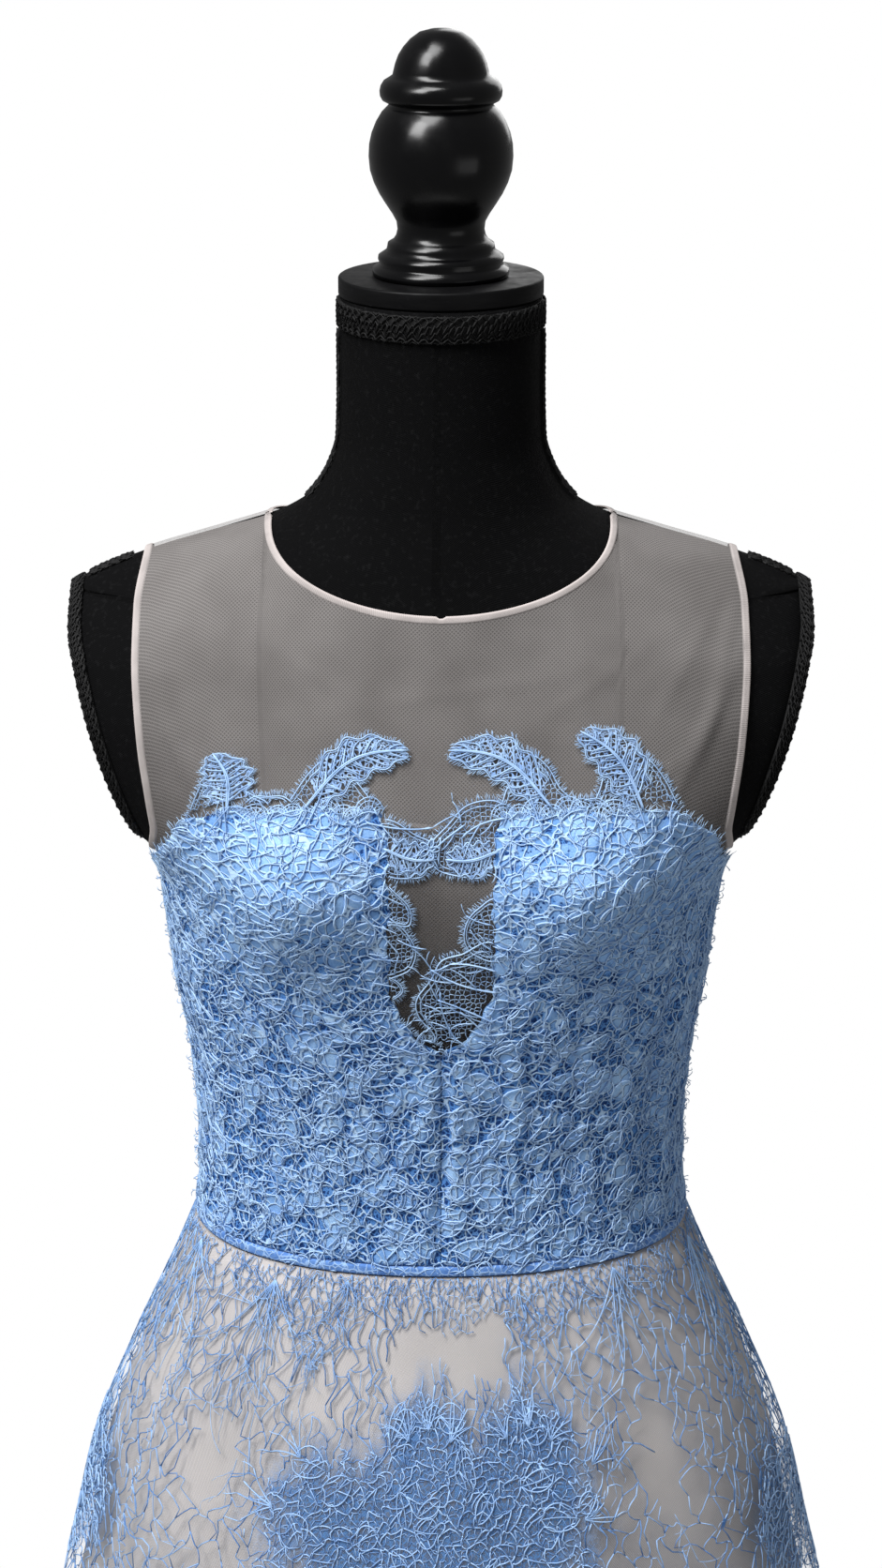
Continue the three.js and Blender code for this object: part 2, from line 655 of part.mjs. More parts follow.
// The heights of a panel's rows, stretched so that the last one reaches its top edge.
function bodiceHeights(top) {
  const last = BODICE_LEVELS[BODICE_LEVELS.length - 1];
  const stretch = (top - BODICE_BOTTOM_Z) / (last - BODICE_BOTTOM_Z);
  return BODICE_LEVELS.map((z) => BODICE_BOTTOM_Z + (z - BODICE_BOTTOM_Z) * stretch);
}

// Overlapping corded petals, low towards the seams that border a panel.
function petalRelief(node, seamFade) {
  const a = node.angle * 105;
  const diagonal = Math.sin(a / 11 + 1.4 * Math.sin(node.z / 23)) * Math.sin(node.z / 12 + Math.sin(a / 19));
  return LACE_RELIEF * (0.45 + 0.55 * diagonal) * seamFade;
}

// A panel between two edges that are angles over height. Shares run from the first edge to the second.
function bodicePanel(name, firstEdge, secondEdge, count) {
  const columns = steps(count).map((share) => {
    const angleOf = (z) => lerp(firstEdge(z), secondEdge(z), share);
    let top = 1220;
    for (let pass = 0; pass < 12; pass += 1) {
      top = lerp(top, bodiceTopZ(Math.abs(angleOf(top)) / DEG), 0.7);
    }
    return bodiceHeights(top).map((z, row, heights) => {
      const node = bodyNode(angleOf(z), z);
      const fade = Math.min(share, 1 - share) * 6 * Math.min(row, heights.length - 1 - row, 2) * 0.5;
      return { ...node, fade: Math.min(fade, 1) };
    });
  });
  const outside = (node) => CLOTH_LIFT + BODICE_THICKNESS + petalRelief(node, node.fade);
  addMesh(group, name, wall(columns, CLOTH_LIFT, outside), "lace_blue");
}

function addBodice() {
  const halfSeam = SEAM_GAP / 2;
  const inner = (z) => angleAt(keyholeX(z), z);
  const princess = (shift) => (z) => angleAt(princessX(z) + shift, z);
  const seamAngle = 0.1 * DEG;
  const sideSeam = (shift) => () => 90 * DEG + shift;
  const centreBack = () => 180 * DEG - seamAngle;
  const mirrored = (edge) => (z) => -edge(z);
  const panels = [
    ["front", inner, princess(-halfSeam), 6],
    ["side", princess(halfSeam), sideSeam(-seamAngle), 8],
    ["back", sideSeam(seamAngle), centreBack, 11],
  ];
  panels.forEach(([label, first, second, count]) => {
    bodicePanel(`bodice_${label}_left`, first, second, count);
    bodicePanel(`bodice_${label}_right`, mirrored(second), mirrored(first), count);
  });
}

function addWaistBand() {
  const bottom = WAIST_Z - WAIST_BAND_HEIGHT / 2;
  const columns = steps(48, -179.8 * DEG, 179.8 * DEG).map((angle) => [
    bodyNode(angle, bottom),
    bodyNode(angle, bottom + WAIST_BAND_HEIGHT),
  ]);
  addMesh(group, "waist_band", wall(columns, CLOTH_LIFT, CLOTH_LIFT + 2.2), "band_blue");
}

// ---------------------------------------------------------------- lace leaves on the yoke

// A leaf laid on the cloth: its midrib bows sideways and its edge has small lobes.
function leafColumns({ rootX, rootZ, tipX, tipZ, bow, half }) {
  const root = new THREE.Vector2(rootX, rootZ);
  const run = new THREE.Vector2(tipX - rootX, tipZ - rootZ);
  const side = new THREE.Vector2(-run.y, run.x).normalize();
  return steps(2, 1, -1).map((across) =>
    steps(8).map((along) => {
      const body = Math.sqrt(Math.sin(Math.PI * (0.16 + 0.82 * along)));
      const lobes = 0.88 + 0.12 * Math.cos(along * 8 * Math.PI);
      const width = across * half * body * lobes;
      const spot = root.clone().addScaledVector(run, along);
      spot.addScaledVector(side, width + bow * Math.sin(Math.PI * along));
      return { ...bodyNode(angleAt(spot.x, spot.y), spot.y), across };
    }),
  );
}

function addLeaf(leaf, underside) {
  const outside = (node) => underside + 1.2 + 0.5 * (1 - Math.abs(node.across));
  addMesh(group, leaf.name, wall(leafColumns(leaf), underside, outside), "lace_blue");
}

// ---------------------------------------------------------------- the skirt

const SKIRT_TOP_Z = WAIST_Z - WAIST_BAND_HEIGHT / 2 - SEAM_GAP;
const SKIRT_LEVELS = [0, 0.05, 0.12, 0.22, 0.4, 0.68, 1];

function skirtPiece(name, slot, surface, hemZ, from, to, count) {
  const heights = SKIRT_LEVELS.map((level) => lerp(SKIRT_TOP_Z, hemZ, level)).reverse();
  const columns = steps(count, from, to).map((angle) =>
    heights.map((z) => ({ point: surface(angle, z), normal: surfaceNormal(surface, angle, z), angle, z })),
  );
  addMesh(group, name, wall(columns, 0, SKIRT_THICKNESS), slot);
}

const liningSurface = (angle, z) => skirtPoint(angle, z);
const overlaySurface = (angle, z) => skirtPoint(angle, z, SKIRT_THICKNESS + overlayGap(z));

function addSkirt() {
  const layers = [
    ["skirt_lining", "lining", liningSurface, LINING_HEM_Z, 12],
    ["skirt_lace", "lace_blue", overlaySurface, LACE_HEM_Z, 16],
  ];
  const side = 90 * DEG;
  const seam = 0.08 * DEG;
  layers.forEach(([name, slot, surface, hemZ, count]) => {
    skirtPiece(`${name}_front`, slot, surface, hemZ, -side + seam, side - seam, 2 * count);
    skirtPiece(`${name}_back_left`, slot, surface, hemZ, side + seam, 2 * side - seam, count);
    skirtPiece(`${name}_back_right`, slot, surface, hemZ, -2 * side + seam, -side - seam, count);
  });
}

// ---------------------------------------------------------------- the centre back zip

const ZIP_TOP_Z = 1341;
const ZIP_END_Z = 868;
const ZIP_WIDTH = 4.8;
const ZIP_THICKNESS = 1;

// How far back the outside of the dress lies at the centre back.
function centreBackY(z) {
  const onBodice = smoothstep(-z, -1226, -1214);
  const onBand = smoothstep(-z, -990, -986);
  const cover = CLOTH_LIFT + lerp(MESH_THICKNESS, BODICE_THICKNESS, onBodice) + 0.5 * onBand;
  if (z > SKIRT_TOP_Z) return bodyPoint(Math.PI, z).y + cover + 2 * SEAM_GAP;
  const cloth = overlaySurface(Math.PI, z).y + SKIRT_THICKNESS + 0.25;
  return Math.max(cloth, bodyPoint(Math.PI, SKIRT_TOP_Z).y + cover);
}

function addZipChain() {
  const heights = steps(30, ZIP_TOP_Z, ZIP_END_Z);
  const edge = (lift) => heights.map((z) => new THREE.Vector2(centreBackY(z) + SEAM_GAP + lift, z));
  const outline = new THREE.Shape([...edge(0), ...edge(ZIP_THICKNESS).reverse()]);
  const geometry = new THREE.ExtrudeGeometry(outline, { depth: ZIP_WIDTH, bevelEnabled: false });
  geometry.translate(0, 0, -ZIP_WIDTH / 2);
  const axes = new THREE.Matrix4().makeBasis(
    new THREE.Vector3(0, 1, 0),
    new THREE.Vector3(0, 0, 1),
    new THREE.Vector3(1, 0, 0),
  );
  addMesh(group, "zip_chain", geometry.applyMatrix4(axes), "zip_metal");
}

function solidFrom(geometry) {
  const bare = geometry.clone();
  bare.deleteAttribute("normal");
  bare.deleteAttribute("uv");
  const merged = mergeVertices(bare, 1e-4);
  const mesh = new wasm.Mesh({
    numProp: 3,
    vertProperties: new Float32Array(merged.attributes.position.array),
    triVerts: new Uint32Array(merged.index.array),
  });
  return new wasm.Manifold(mesh);
}

function geometryOf(solid) {
  const mesh = solid.getMesh();
  const geometry = new THREE.BufferGeometry();
  geometry.setAttribute("position", new THREE.BufferAttribute(new Float32Array(mesh.vertProperties), 3));
  geometry.setIndex(new THREE.BufferAttribute(new Uint32Array(mesh.triVerts), 1));
  return geometry;
}

// In the slider's own frame +Y points out of the cloth and the closed chain runs along Z.
const PIN_RADIUS = 0.7;
const PIN_LIFT = 4.6; // height of the hinge pin over the chain
const PULL = { width: 4.4, length: 19, thickness: 1.2, knuckle: 1.9 };

function sliderSolid() {
  const body = new THREE.BoxGeometry(7.6, 2.4, 10).translate(0, 1.5, 0);
  const pin = new THREE.CylinderGeometry(PIN_RADIUS, PIN_RADIUS, 7, 12).rotateZ(Math.PI / 2);
  const lug = (x) => new THREE.BoxGeometry(0.9, 3.6, 3.4).translate(x, 4.2, 3);
  const parts = [lug(-3.2), lug(3.2), pin.translate(0, PIN_LIFT, 3)];
  return parts.reduce((solid, part) => solid.add(solidFrom(part)), solidFrom(body));
}

// The pull tab: a knuckle round the pin and a flat blade that narrows towards its rounded end.
function pullSolid() {
  const { width, length, thickness, knuckle } = PULL;
  const side = new THREE.Shape();
  const joinY = Math.sqrt(knuckle ** 2 - thickness ** 2 / 4);
  const start = Math.atan2(-thickness / 2, -joinY);
  const end = Math.atan2(thickness / 2, -joinY);
  side.absarc(0, 0, knuckle, start, end, false);
  side.lineTo(-length, thickness / 2);
  side.lineTo(-length, -thickness / 2);
  side.closePath();
  side.holes.push(new THREE.Path().absarc(0, 0, PIN_RADIUS + SEAM_GAP, 0, 2 * Math.PI, true));
  const slab = new THREE.ExtrudeGeometry(side, { depth: width, bevelEnabled: false, curveSegments: 10 });
  slab.translate(0, 0, -width / 2);
  const axes = new THREE.Matrix4().makeBasis(
    new THREE.Vector3(0, 0, 1),
    new THREE.Vector3(0, 1, 0),
    new THREE.Vector3(-1, 0, 0),
  );
  slab.applyMatrix4(axes);
  const face = new THREE.Shape();
  face.moveTo(-width, knuckle + 1);
  face.lineTo(width, knuckle + 1);
  face.lineTo(1.6, -4);
  face.lineTo(width / 2, -length + 3);
  face.absarc(0, -length + width / 2, width / 2, 0, Math.PI, true);
  face.lineTo(-1.6, -4);
  face.closePath();
  const outline = new THREE.ExtrudeGeometry(face, { depth: 8, bevelEnabled: false, curveSegments: 5 });
  outline.translate(0, 0, -4).rotateX(Math.PI / 2);
  return solidFrom(slab).intersect(solidFrom(outline));
}

function addZipSlider() {
  const middleZ = ZIP_TOP_Z - 6;
  const slope = (centreBackY(middleZ - 5) - centreBackY(middleZ + 5)) / 10;
  const slider = new THREE.Group();
  slider.position.set(0, centreBackY(middleZ) + SEAM_GAP + ZIP_THICKNESS + 0.2, middleZ);
  slider.rotation.x = Math.atan(slope);
  addMesh(slider, "zip_slider", geometryOf(sliderSolid()), "zip_metal");
  const pull = addMesh(slider, "zip_pull", geometryOf(pullSolid()), "zip_metal");
  pull.position.set(0, PIN_LIFT, 3);
  group.add(slider);
}

// ---------------------------------------------------------------- the whole

addDressForm();
addNeckBraid();
addYoke();
addKeyholeMesh();
addNeckBinding();
[[1, "left"], [-1, "right"]].forEach(([side, label]) => {
  addSideBraids(side, label);
  addArmholeBinding(side, label);
});
addBodice();
addWaistBand();
[...YOKE_LEAVES, ...BRIDGE_SPRAYS].forEach((leaf) => addLeaf(leaf, CLOTH_LIFT + MESH_THICKNESS + 0.6));
addSkirt();
addZipChain();
addZipSlider();

export default group;
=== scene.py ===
"""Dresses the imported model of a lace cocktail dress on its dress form.

Lengths are millimetres until a mesh is made. +X is the wearer's left, the dress faces -Y and +Z is up.
Angles run from the centre front (0) over the wearer's left (90 degrees) to the centre back (180).
"""
import math

import bpy
import numpy as np
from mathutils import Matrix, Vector, geometry


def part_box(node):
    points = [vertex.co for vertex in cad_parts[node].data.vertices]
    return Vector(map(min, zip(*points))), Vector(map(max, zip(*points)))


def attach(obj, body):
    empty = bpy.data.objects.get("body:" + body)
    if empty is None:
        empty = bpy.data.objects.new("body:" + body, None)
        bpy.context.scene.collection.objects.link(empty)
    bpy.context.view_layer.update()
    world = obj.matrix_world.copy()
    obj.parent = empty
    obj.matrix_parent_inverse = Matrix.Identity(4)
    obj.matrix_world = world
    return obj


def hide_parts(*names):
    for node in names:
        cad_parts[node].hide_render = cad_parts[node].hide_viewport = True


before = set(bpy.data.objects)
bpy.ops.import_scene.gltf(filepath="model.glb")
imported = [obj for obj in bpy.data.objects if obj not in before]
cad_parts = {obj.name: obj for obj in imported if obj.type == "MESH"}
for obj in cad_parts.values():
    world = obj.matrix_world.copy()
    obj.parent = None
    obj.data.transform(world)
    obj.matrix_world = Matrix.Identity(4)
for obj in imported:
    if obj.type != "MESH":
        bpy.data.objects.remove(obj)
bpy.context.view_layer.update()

# ---------------------------------------------------------------- sizes shared with the model

MM = 0.001
DEG = math.pi / 180

SEAM_GAP = 0.3
RIDGE_GAP = 0.05  # of front and back cloth below the ridge where they meet
FORM_INSET = 0.9
CLOTH_LIFT = 0.8
MESH_THICKNESS = 1.2
NECK_TOP_Z = 1471
SIDE_NECK_Z = 1359
SIDE_NECK_X = 85
FRONT_NECK_DROP = 35
BACK_NECK_DROP = 14
BINDING_WIDTH = 5
WAIST_Z = 980
WAIST_BAND_HEIGHT = 6
BODICE_BOTTOM_Z = WAIST_Z + WAIST_BAND_HEIGHT / 2 + SEAM_GAP
SKIRT_TOP_Z = WAIST_Z - WAIST_BAND_HEIGHT / 2 - SEAM_GAP
LINING_HEM_Z = 424
LACE_HEM_Z = 416
HIP_BOTTOM_Z = 778
BRAID_WIDTH = 9

# z, half width, depth to the front, depth to the back, squareness
BODY_SECTIONS = np.array([
    (778, 163, 103, 114, 2.2), (800, 164, 104, 115, 2.2), (850, 160, 104, 113, 2.2),
    (900, 149, 100, 102, 2.2), (950, 134, 93.5, 86, 2.2), (978, 129.5, 90, 79, 2.2),
    (1000, 127, 88, 76, 2.2), (1030, 126.5, 88, 75.5, 2.2), (1060, 128.5, 90, 77, 2.2),
    (1090, 132, 93.5, 80, 2.25), (1120, 137.5, 97.5, 84, 2.3), (1150, 141, 101, 88, 2.3),
    (1175, 144, 102.5, 92, 2.3), (1190, 152, 102.5, 94, 2.3), (1205, 168, 101.5, 95.5, 2.3),
    (1220, 183, 99.5, 97, 2.3), (1240, 198, 95.5, 98, 2.3), (1265, 209, 89, 97, 2.3),
    (1290, 211, 80, 92, 2.15), (1308, 204, 74, 86, 1.85), (1320, 192, 70, 81, 1.65),
    (1330, 175, 67, 76, 1.55), (1340, 150, 64.5, 71, 1.5), (1350, 115, 62, 66, 1.55),
    (1359, 84, 59.5, 61.5, 1.75), (1370, 66, 57, 57, 1.95), (1385, 56, 55.5, 52, 2.05),
    (1400, 51.5, 54.5, 48.5, 2), (1430, 50.7, 54, 47, 2), (1471, 50.7, 54, 47, 2),
])
# z, half width, depth to the front, depth to the back, squareness, height of the flutes
SKIRT_SECTIONS = np.array([
    (410, 274, 222, 228, 2, 15), (600, 232, 184, 189, 2, 9), (700, 209, 165, 169, 2.03, 5),
    (783, 191, 150, 154, 2.06, 2.5), (840, 180.5, 137, 143, 2.1, 1.6), (892, 163.5, 123, 128, 2.14, 0.6),
    (942, 144, 105, 104, 2.18, 0), (978, 130, 90.5, 79.5, 2.2, 0),
])
OVERLAY_FLOAT = np.array([(410, 12), (783, 8.5), (892, 4.2), (950, 1.2), (978, 0.6)])
BUST_X, BUST_Z, BUST_RISE, BUST_SPREAD_X, BUST_SPREAD_Z = 75, 1190, 22, 40, 38
ARM_PLATE = np.array([
    (1180, 152), (1198, 156), (1221, 164.5), (1243, 172), (1272, 180.5), (1297, 186.5), (1316, 189),
])
ARM_EDGE = np.array([
    (1185, 141), (1205, 144), (1232, 147.4), (1256, 150.5), (1301, 153.6), (1320, 153.4), (1340, 150),
])
# angle in degrees, z
BODICE_TOP = np.array([
    (0, 1228), (32, 1233), (56, 1228), (65, 1215), (75, 1188),
    (90, 1178), (105, 1186), (118, 1208), (135, 1216), (180, 1218),
])
KEYHOLE_EDGE = np.array([
    (978, 0.15), (1103, 0.15), (1112, 13), (1126, 22), (1150, 27), (1200, 27), (1233, 29),
])
PRINCESS_SEAM = np.array([(978, 42), (1040, 48), (1100, 60), (1160, 72), (1233, 78)])

# ---------------------------------------------------------------- smooth curves and surfaces


def curve(table, column=1):
    """A monotone cubic through a table, from its first column to the given one."""
    t, v = table[:, 0].astype(float), table[:, column].astype(float)
    rise = np.diff(v) / np.diff(t)
    slope = np.empty_like(v)
    slope[0], slope[-1] = rise[0], rise[-1]
    product, total = rise[:-1] * rise[1:], rise[:-1] + rise[1:]
    slope[1:-1] = np.where(product > 0, 2 * product / np.where(product > 0, total, 1), 0)

    def at(x):
        x = np.clip(x, t[0], t[-1])
        i = np.clip(np.searchsorted(t, x, side="left") - 1, 0, len(t) - 2)
        h = t[i + 1] - t[i]
        s = (x - t[i]) / h
        from_ends = v[i] * (1 + 2 * s) * (1 - s) ** 2 + v[i + 1] * s * s * (3 - 2 * s)
        return from_ends + h * s * (1 - s) * (slope[i] * (1 - s) - slope[i + 1] * s)

    return at


BODY_CURVES = [curve(BODY_SECTIONS, column) for column in range(1, 5)]
SKIRT_CURVES = [curve(SKIRT_SECTIONS, column) for column in range(1, 6)]
overlay_gap = curve(OVERLAY_FLOAT)
plate_x = curve(ARM_PLATE)
arm_edge_x = curve(ARM_EDGE)
bodice_top_z = curve(BODICE_TOP)
keyhole_x = curve(KEYHOLE_EDGE)
princess_x = curve(PRINCESS_SEAM)


def smooth(x, low, high):
    t = np.clip((x - low) / (high - low), 0, 1)
    return t * t * (3 - 2 * t)


def body_width(z):
    return BODY_CURVES[0](z)


def ring_radius(w, f, b, n, angle):
    across = np.abs(np.sin(angle)) / w
    along = np.abs(np.cos(angle)) / np.where(np.cos(angle) > 0, f, b)
    return (across ** n + along ** n) ** (-1 / n)


def body_point(angle, z):
    angle, z = np.broadcast_arrays(np.asarray(angle, float), np.asarray(z, float))
    w, f, b, n = (at(z) for at in BODY_CURVES)
    r = ring_radius(w, f, b, n, angle)
    x = r * np.sin(angle)
    blend = np.clip(4 * np.cos(angle), 0, 1)
    across, up = (np.abs(x) - BUST_X) / BUST_SPREAD_X, (z - BUST_Z) / BUST_SPREAD_Z
    bust = BUST_RISE * np.exp(-across * across - up * up)
    return np.stack([x, -r * np.cos(angle) - blend * bust, z], -1)


def angle_at(x, z, behind=False):
    """The angle where the body ring at height z reaches a given x, in front or behind."""
    w, f, b, n = (at(z) for at in BODY_CURVES)
    share = np.minimum(np.abs(x) / w, 1)
    y = (b if behind else f) * (1 - share ** n) ** (1 / n)
    angle = np.arctan2(np.abs(x), y)
    return np.sign(x) * (math.pi - angle if behind else angle)


def skirt_point(angle, z, float_out=0):
    angle, z = np.broadcast_arrays(np.asarray(angle, float), np.asarray(z, float))
    w, f, b, n, flute = (at(z) for at in SKIRT_CURVES)
    wave = np.cos(12 * angle) + 0.45 * np.cos(7 * np.abs(angle) + 0.6) * np.sin(angle) ** 2
    r = ring_radius(w, f, b, n, angle) + flute * wave + float_out
    return np.stack([r * np.sin(angle), -r * np.cos(angle), z], -1)


def overlay_point(angle, z):
    return skirt_point(angle, z, 1.0 + overlay_gap(z))


def unit(vectors):
    return vectors / np.maximum(np.linalg.norm(vectors, axis=-1, keepdims=True), 1e-9)


def normal_of(surface, angle, z):
    around = surface(angle + 0.01, z) - surface(angle - 0.01, z)
    up = surface(angle, z + 0.5) - surface(angle, z - 0.5)
    return unit(np.cross(around, up))


def lifted(surface, angle, z, lift):
    """Points a given distance outside a surface, and the surface's normals there."""
    normals = normal_of(surface, angle, z)
    return surface(angle, z) + normals * np.asarray(lift)[..., None], normals


def solve_height(shape, low, high, is_below):
    """The height where a test stops being true, found by halving between two heights."""
    low, high = np.full(shape, float(low)), np.full(shape, float(high))
    for _ in range(30):
        middle = (low + high) / 2
        below = is_below(middle)
        low, high = np.where(below, middle, low), np.where(below, high, middle)
    return low


def steps(count, low=0.0, high=1.0):
    """A row of evenly spaced values, for lines that are drawn from a column of starts."""
    return np.linspace(low, high, count)[None, :]


def turned(u, z, along, across, turn):
    """The place that lies along and across a direction from (u, z)."""
    c, s = np.cos(turn), np.sin(turn)
    return u + along * c - across * s, z + along * s + across * c


# ---------------------------------------------------------------- meshes


def new_object(name, points, face_sets, finish, attributes=None):
    """A smooth-shaded mesh object from points in millimetres and arrays of faces."""
    mesh = bpy.data.meshes.new(name)
    mesh.vertices.add(len(points))
    mesh.vertices.foreach_set("co", (np.asarray(points) * MM).astype(np.float32).ravel())
    sizes = np.concatenate([np.full(len(faces), faces.shape[1]) for faces in face_sets])
    corners = np.concatenate([faces.ravel() for faces in face_sets])
    mesh.loops.add(len(corners))
    mesh.loops.foreach_set("vertex_index", corners.astype(np.int32))
    mesh.polygons.add(len(sizes))
    starts = np.concatenate([[0], np.cumsum(sizes)[:-1]])
    mesh.polygons.foreach_set("loop_start", starts.astype(np.int32))
    mesh.update(calc_edges=True)
    mesh.polygons.foreach_set("use_smooth", np.full(len(sizes), True))
    for key, values in (attributes or {}).items():
        values = np.asarray(values, np.float32)
        kind, field = ("FLOAT_VECTOR", "vector") if values.ndim > 1 else ("FLOAT", "value")
        mesh.attributes.new(key, kind, "POINT").data.foreach_set(field, values.ravel())
    mesh.validate()
    mesh.materials.append(finish)
    made = bpy.data.objects.new(name, mesh)
    bpy.context.scene.collection.objects.link(made)
    return made


def place(made, slot, replaces=()):
    """Everything but the zip's pull, which keeps its solid, rides the dress."""
    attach(made, "dress")
    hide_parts(*replaces)
    return made


def grid_faces(columns, rows, closed=False):
    i, j = np.meshgrid(np.arange(columns if closed else columns - 1), np.arange(rows - 1), indexing="ij")
    here, after = i * rows + j, (i + 1) % columns * rows + j
    return np.stack([here, after, after + 1, here + 1], -1).reshape(-1, 4)


def cloth_map(points):
    """Distances in millimetres across and up a grid of points, to lay a weave along the cloth."""
    across = np.linalg.norm(np.diff(points, axis=0), axis=-1).mean(axis=1)
    across = np.concatenate([[0], np.cumsum(across)])
    up = np.linalg.norm(np.diff(points, axis=1), axis=-1)
    up = np.concatenate([np.zeros((len(points), 1)), np.cumsum(up, axis=1)], 1)
    across = np.broadcast_to(across[:, None] - across.mean(), up.shape)
    return np.stack([across, up, np.zeros_like(up)], -1)


def sheet_wall(name, outer, inner, finish, attributes=None):
    """A closed thin wall between two grids of points: columns run round the body, rows run up it."""
    columns, rows = outer.shape[:2]
    count = columns * rows
    front = grid_faces(columns, rows)
    back = front[:, ::-1] + count
    ring = np.concatenate([
        np.arange(columns) * rows,
        (columns - 1) * rows + np.arange(1, rows),
        (np.arange(columns - 2, -1, -1)) * rows + rows - 1,
        np.arange(rows - 2, 0, -1),
    ])
    after = np.roll(ring, -1)
    rim = np.stack([ring + count, after + count, after, ring], -1)
    points = np.concatenate([outer.reshape(-1, 3), inner.reshape(-1, 3)])
    both = {"cloth": np.concatenate([cloth_map(outer).reshape(-1, 3)] * 2)}
    for key, values in (attributes or {}).items():
        both[key] = np.concatenate([values.ravel()] * 2)
    return new_object(name, points, [front, back, rim], finish, both)


def open_sheet(name, points, finish, attributes=None):
    """A single layer of very thin cloth over a grid of points."""
    faces = grid_faces(*points.shape[:2])
    values = {"cloth": cloth_map(points).reshape(-1, 3)}
    for key, value in (attributes or {}).items():
        values[key] = value.ravel()
    return new_object(name, points.reshape(-1, 3), [faces], finish, values)


def round_solid(name, rings, finish, attributes=None):
    """A solid from a closed grid of points, columns round it and rows up it, with its two ends filled."""
    columns, rows = rings.shape[:2]
    ends = np.arange(columns)[None] * rows
    faces = [grid_faces(columns, rows, closed=True), ends[:, ::-1], ends + rows - 1]
    return new_object(name, rings.reshape(-1, 3), faces, finish, attributes)


def lathe(name, profile, finish, segments=96):
    """A turned solid from (radius, z) rows, closed at both ends."""
    r, z = np.asarray(profile, float).T
    turn = np.linspace(0, 2 * math.pi, segments, endpoint=False)[:, None]
    return round_solid(name, np.stack([r * np.cos(turn), r * np.sin(turn), z + 0 * turn], -1), finish)


class Cords:
    """Thin cords that follow a surface, gathered into one mesh of small tubes.

    A point of a cord is a row of u, z, radius, lift, tone, number of its run and whether the run tapers.
    """

    TONE, RUN = 4, 5

    def __init__(self):
        self.parts = []
        self.runs = 0

    def add(self, u, z, radius, lift=0.0, tone=0.5, keep=None, taper=True):
        """Rows of points (u, z). Each row is a cord, and points that are not kept break it."""
        u, z = np.broadcast_arrays(np.atleast_2d(np.asarray(u, float)), np.atleast_2d(np.asarray(z, float)))
        shape = u.shape
        keep = np.ones(shape, bool) if keep is None else keep
        fresh = np.ones(shape, bool)
        fresh[:, 1:] = ~keep[:, :-1]
        run = np.cumsum(fresh).reshape(shape) + self.runs
        self.runs = run[-1, -1] + 1
        columns = (np.broadcast_to(value, shape)[keep] for value in (u, z, radius, lift, tone, run, taper))
        self.parts.append(np.stack([column.astype(float) for column in columns], -1))

    def shade(self, change):
        """Adds change(u, z) to the tone of every point."""
        for part in self.parts:
            part[:, self.TONE] += change(part[:, 0], part[:, 1])

    def build(self, name, surface, finish, sides=3):
        """surface(u, z, lift) gives points and normals."""
        data = np.concatenate(self.parts)
        _, inverse, counts = np.unique(data[:, self.RUN], return_inverse=True, return_counts=True)
        u, z, radius, lift, tone, run, tapers = data[counts[inverse] > 1].T
        joined = run[1:] == run[:-1]
        ends = np.ones(len(run), bool)
        ends[1:-1] = ~(joined[1:] & joined[:-1])
        radius = radius * np.where(ends & (tapers > 0), 0.4, 1)
        points, normals = surface(u, z, lift)
        step = np.where(joined[:, None], np.diff(points, axis=0), 0)
        tangent = np.zeros_like(points)
        tangent[:-1] += step
        tangent[1:] += step
        tangent = unit(tangent)
        side = unit(np.cross(tangent, normals))
        up = np.cross(side, tangent)
        turn = 2 * math.pi * np.arange(sides) / sides
        ring = np.cos(turn)[None, :, None] * up[:, None] + np.sin(turn)[None, :, None] * side[:, None]
        corners = (points[:, None] + ring * radius[:, None, None]).reshape(-1, 3)
        first = np.flatnonzero(joined)[:, None] * sides
        k = np.arange(sides)[None]
        after = (k + 1) % sides
        quads = np.stack([first + k, first + after, first + sides + after, first + sides + k], -1)
        starts = np.flatnonzero(np.concatenate([[True], ~joined]))[:, None] * sides
        stops = np.flatnonzero(np.concatenate([~joined, [True]]))[:, None] * sides
        caps = np.concatenate([starts + k[:, ::-1], stops + k])
        tones = {"tone": np.repeat(tone, sides)}
        return new_object(name, corners, [quads.reshape(-1, 4), caps], finish, tones)


# ---------------------------------------------------------------- finishes


def rgb(red, green, blue):
    """A display colour, 0 to 255 a channel, as the linear colour that a shader takes."""
    share = np.array([red, green, blue]) / 255
    linear = np.where(share <= 0.04045, share / 12.92, ((share + 0.055) / 1.055) ** 2.4)
    return (*(float(value) for value in linear), 1.0)


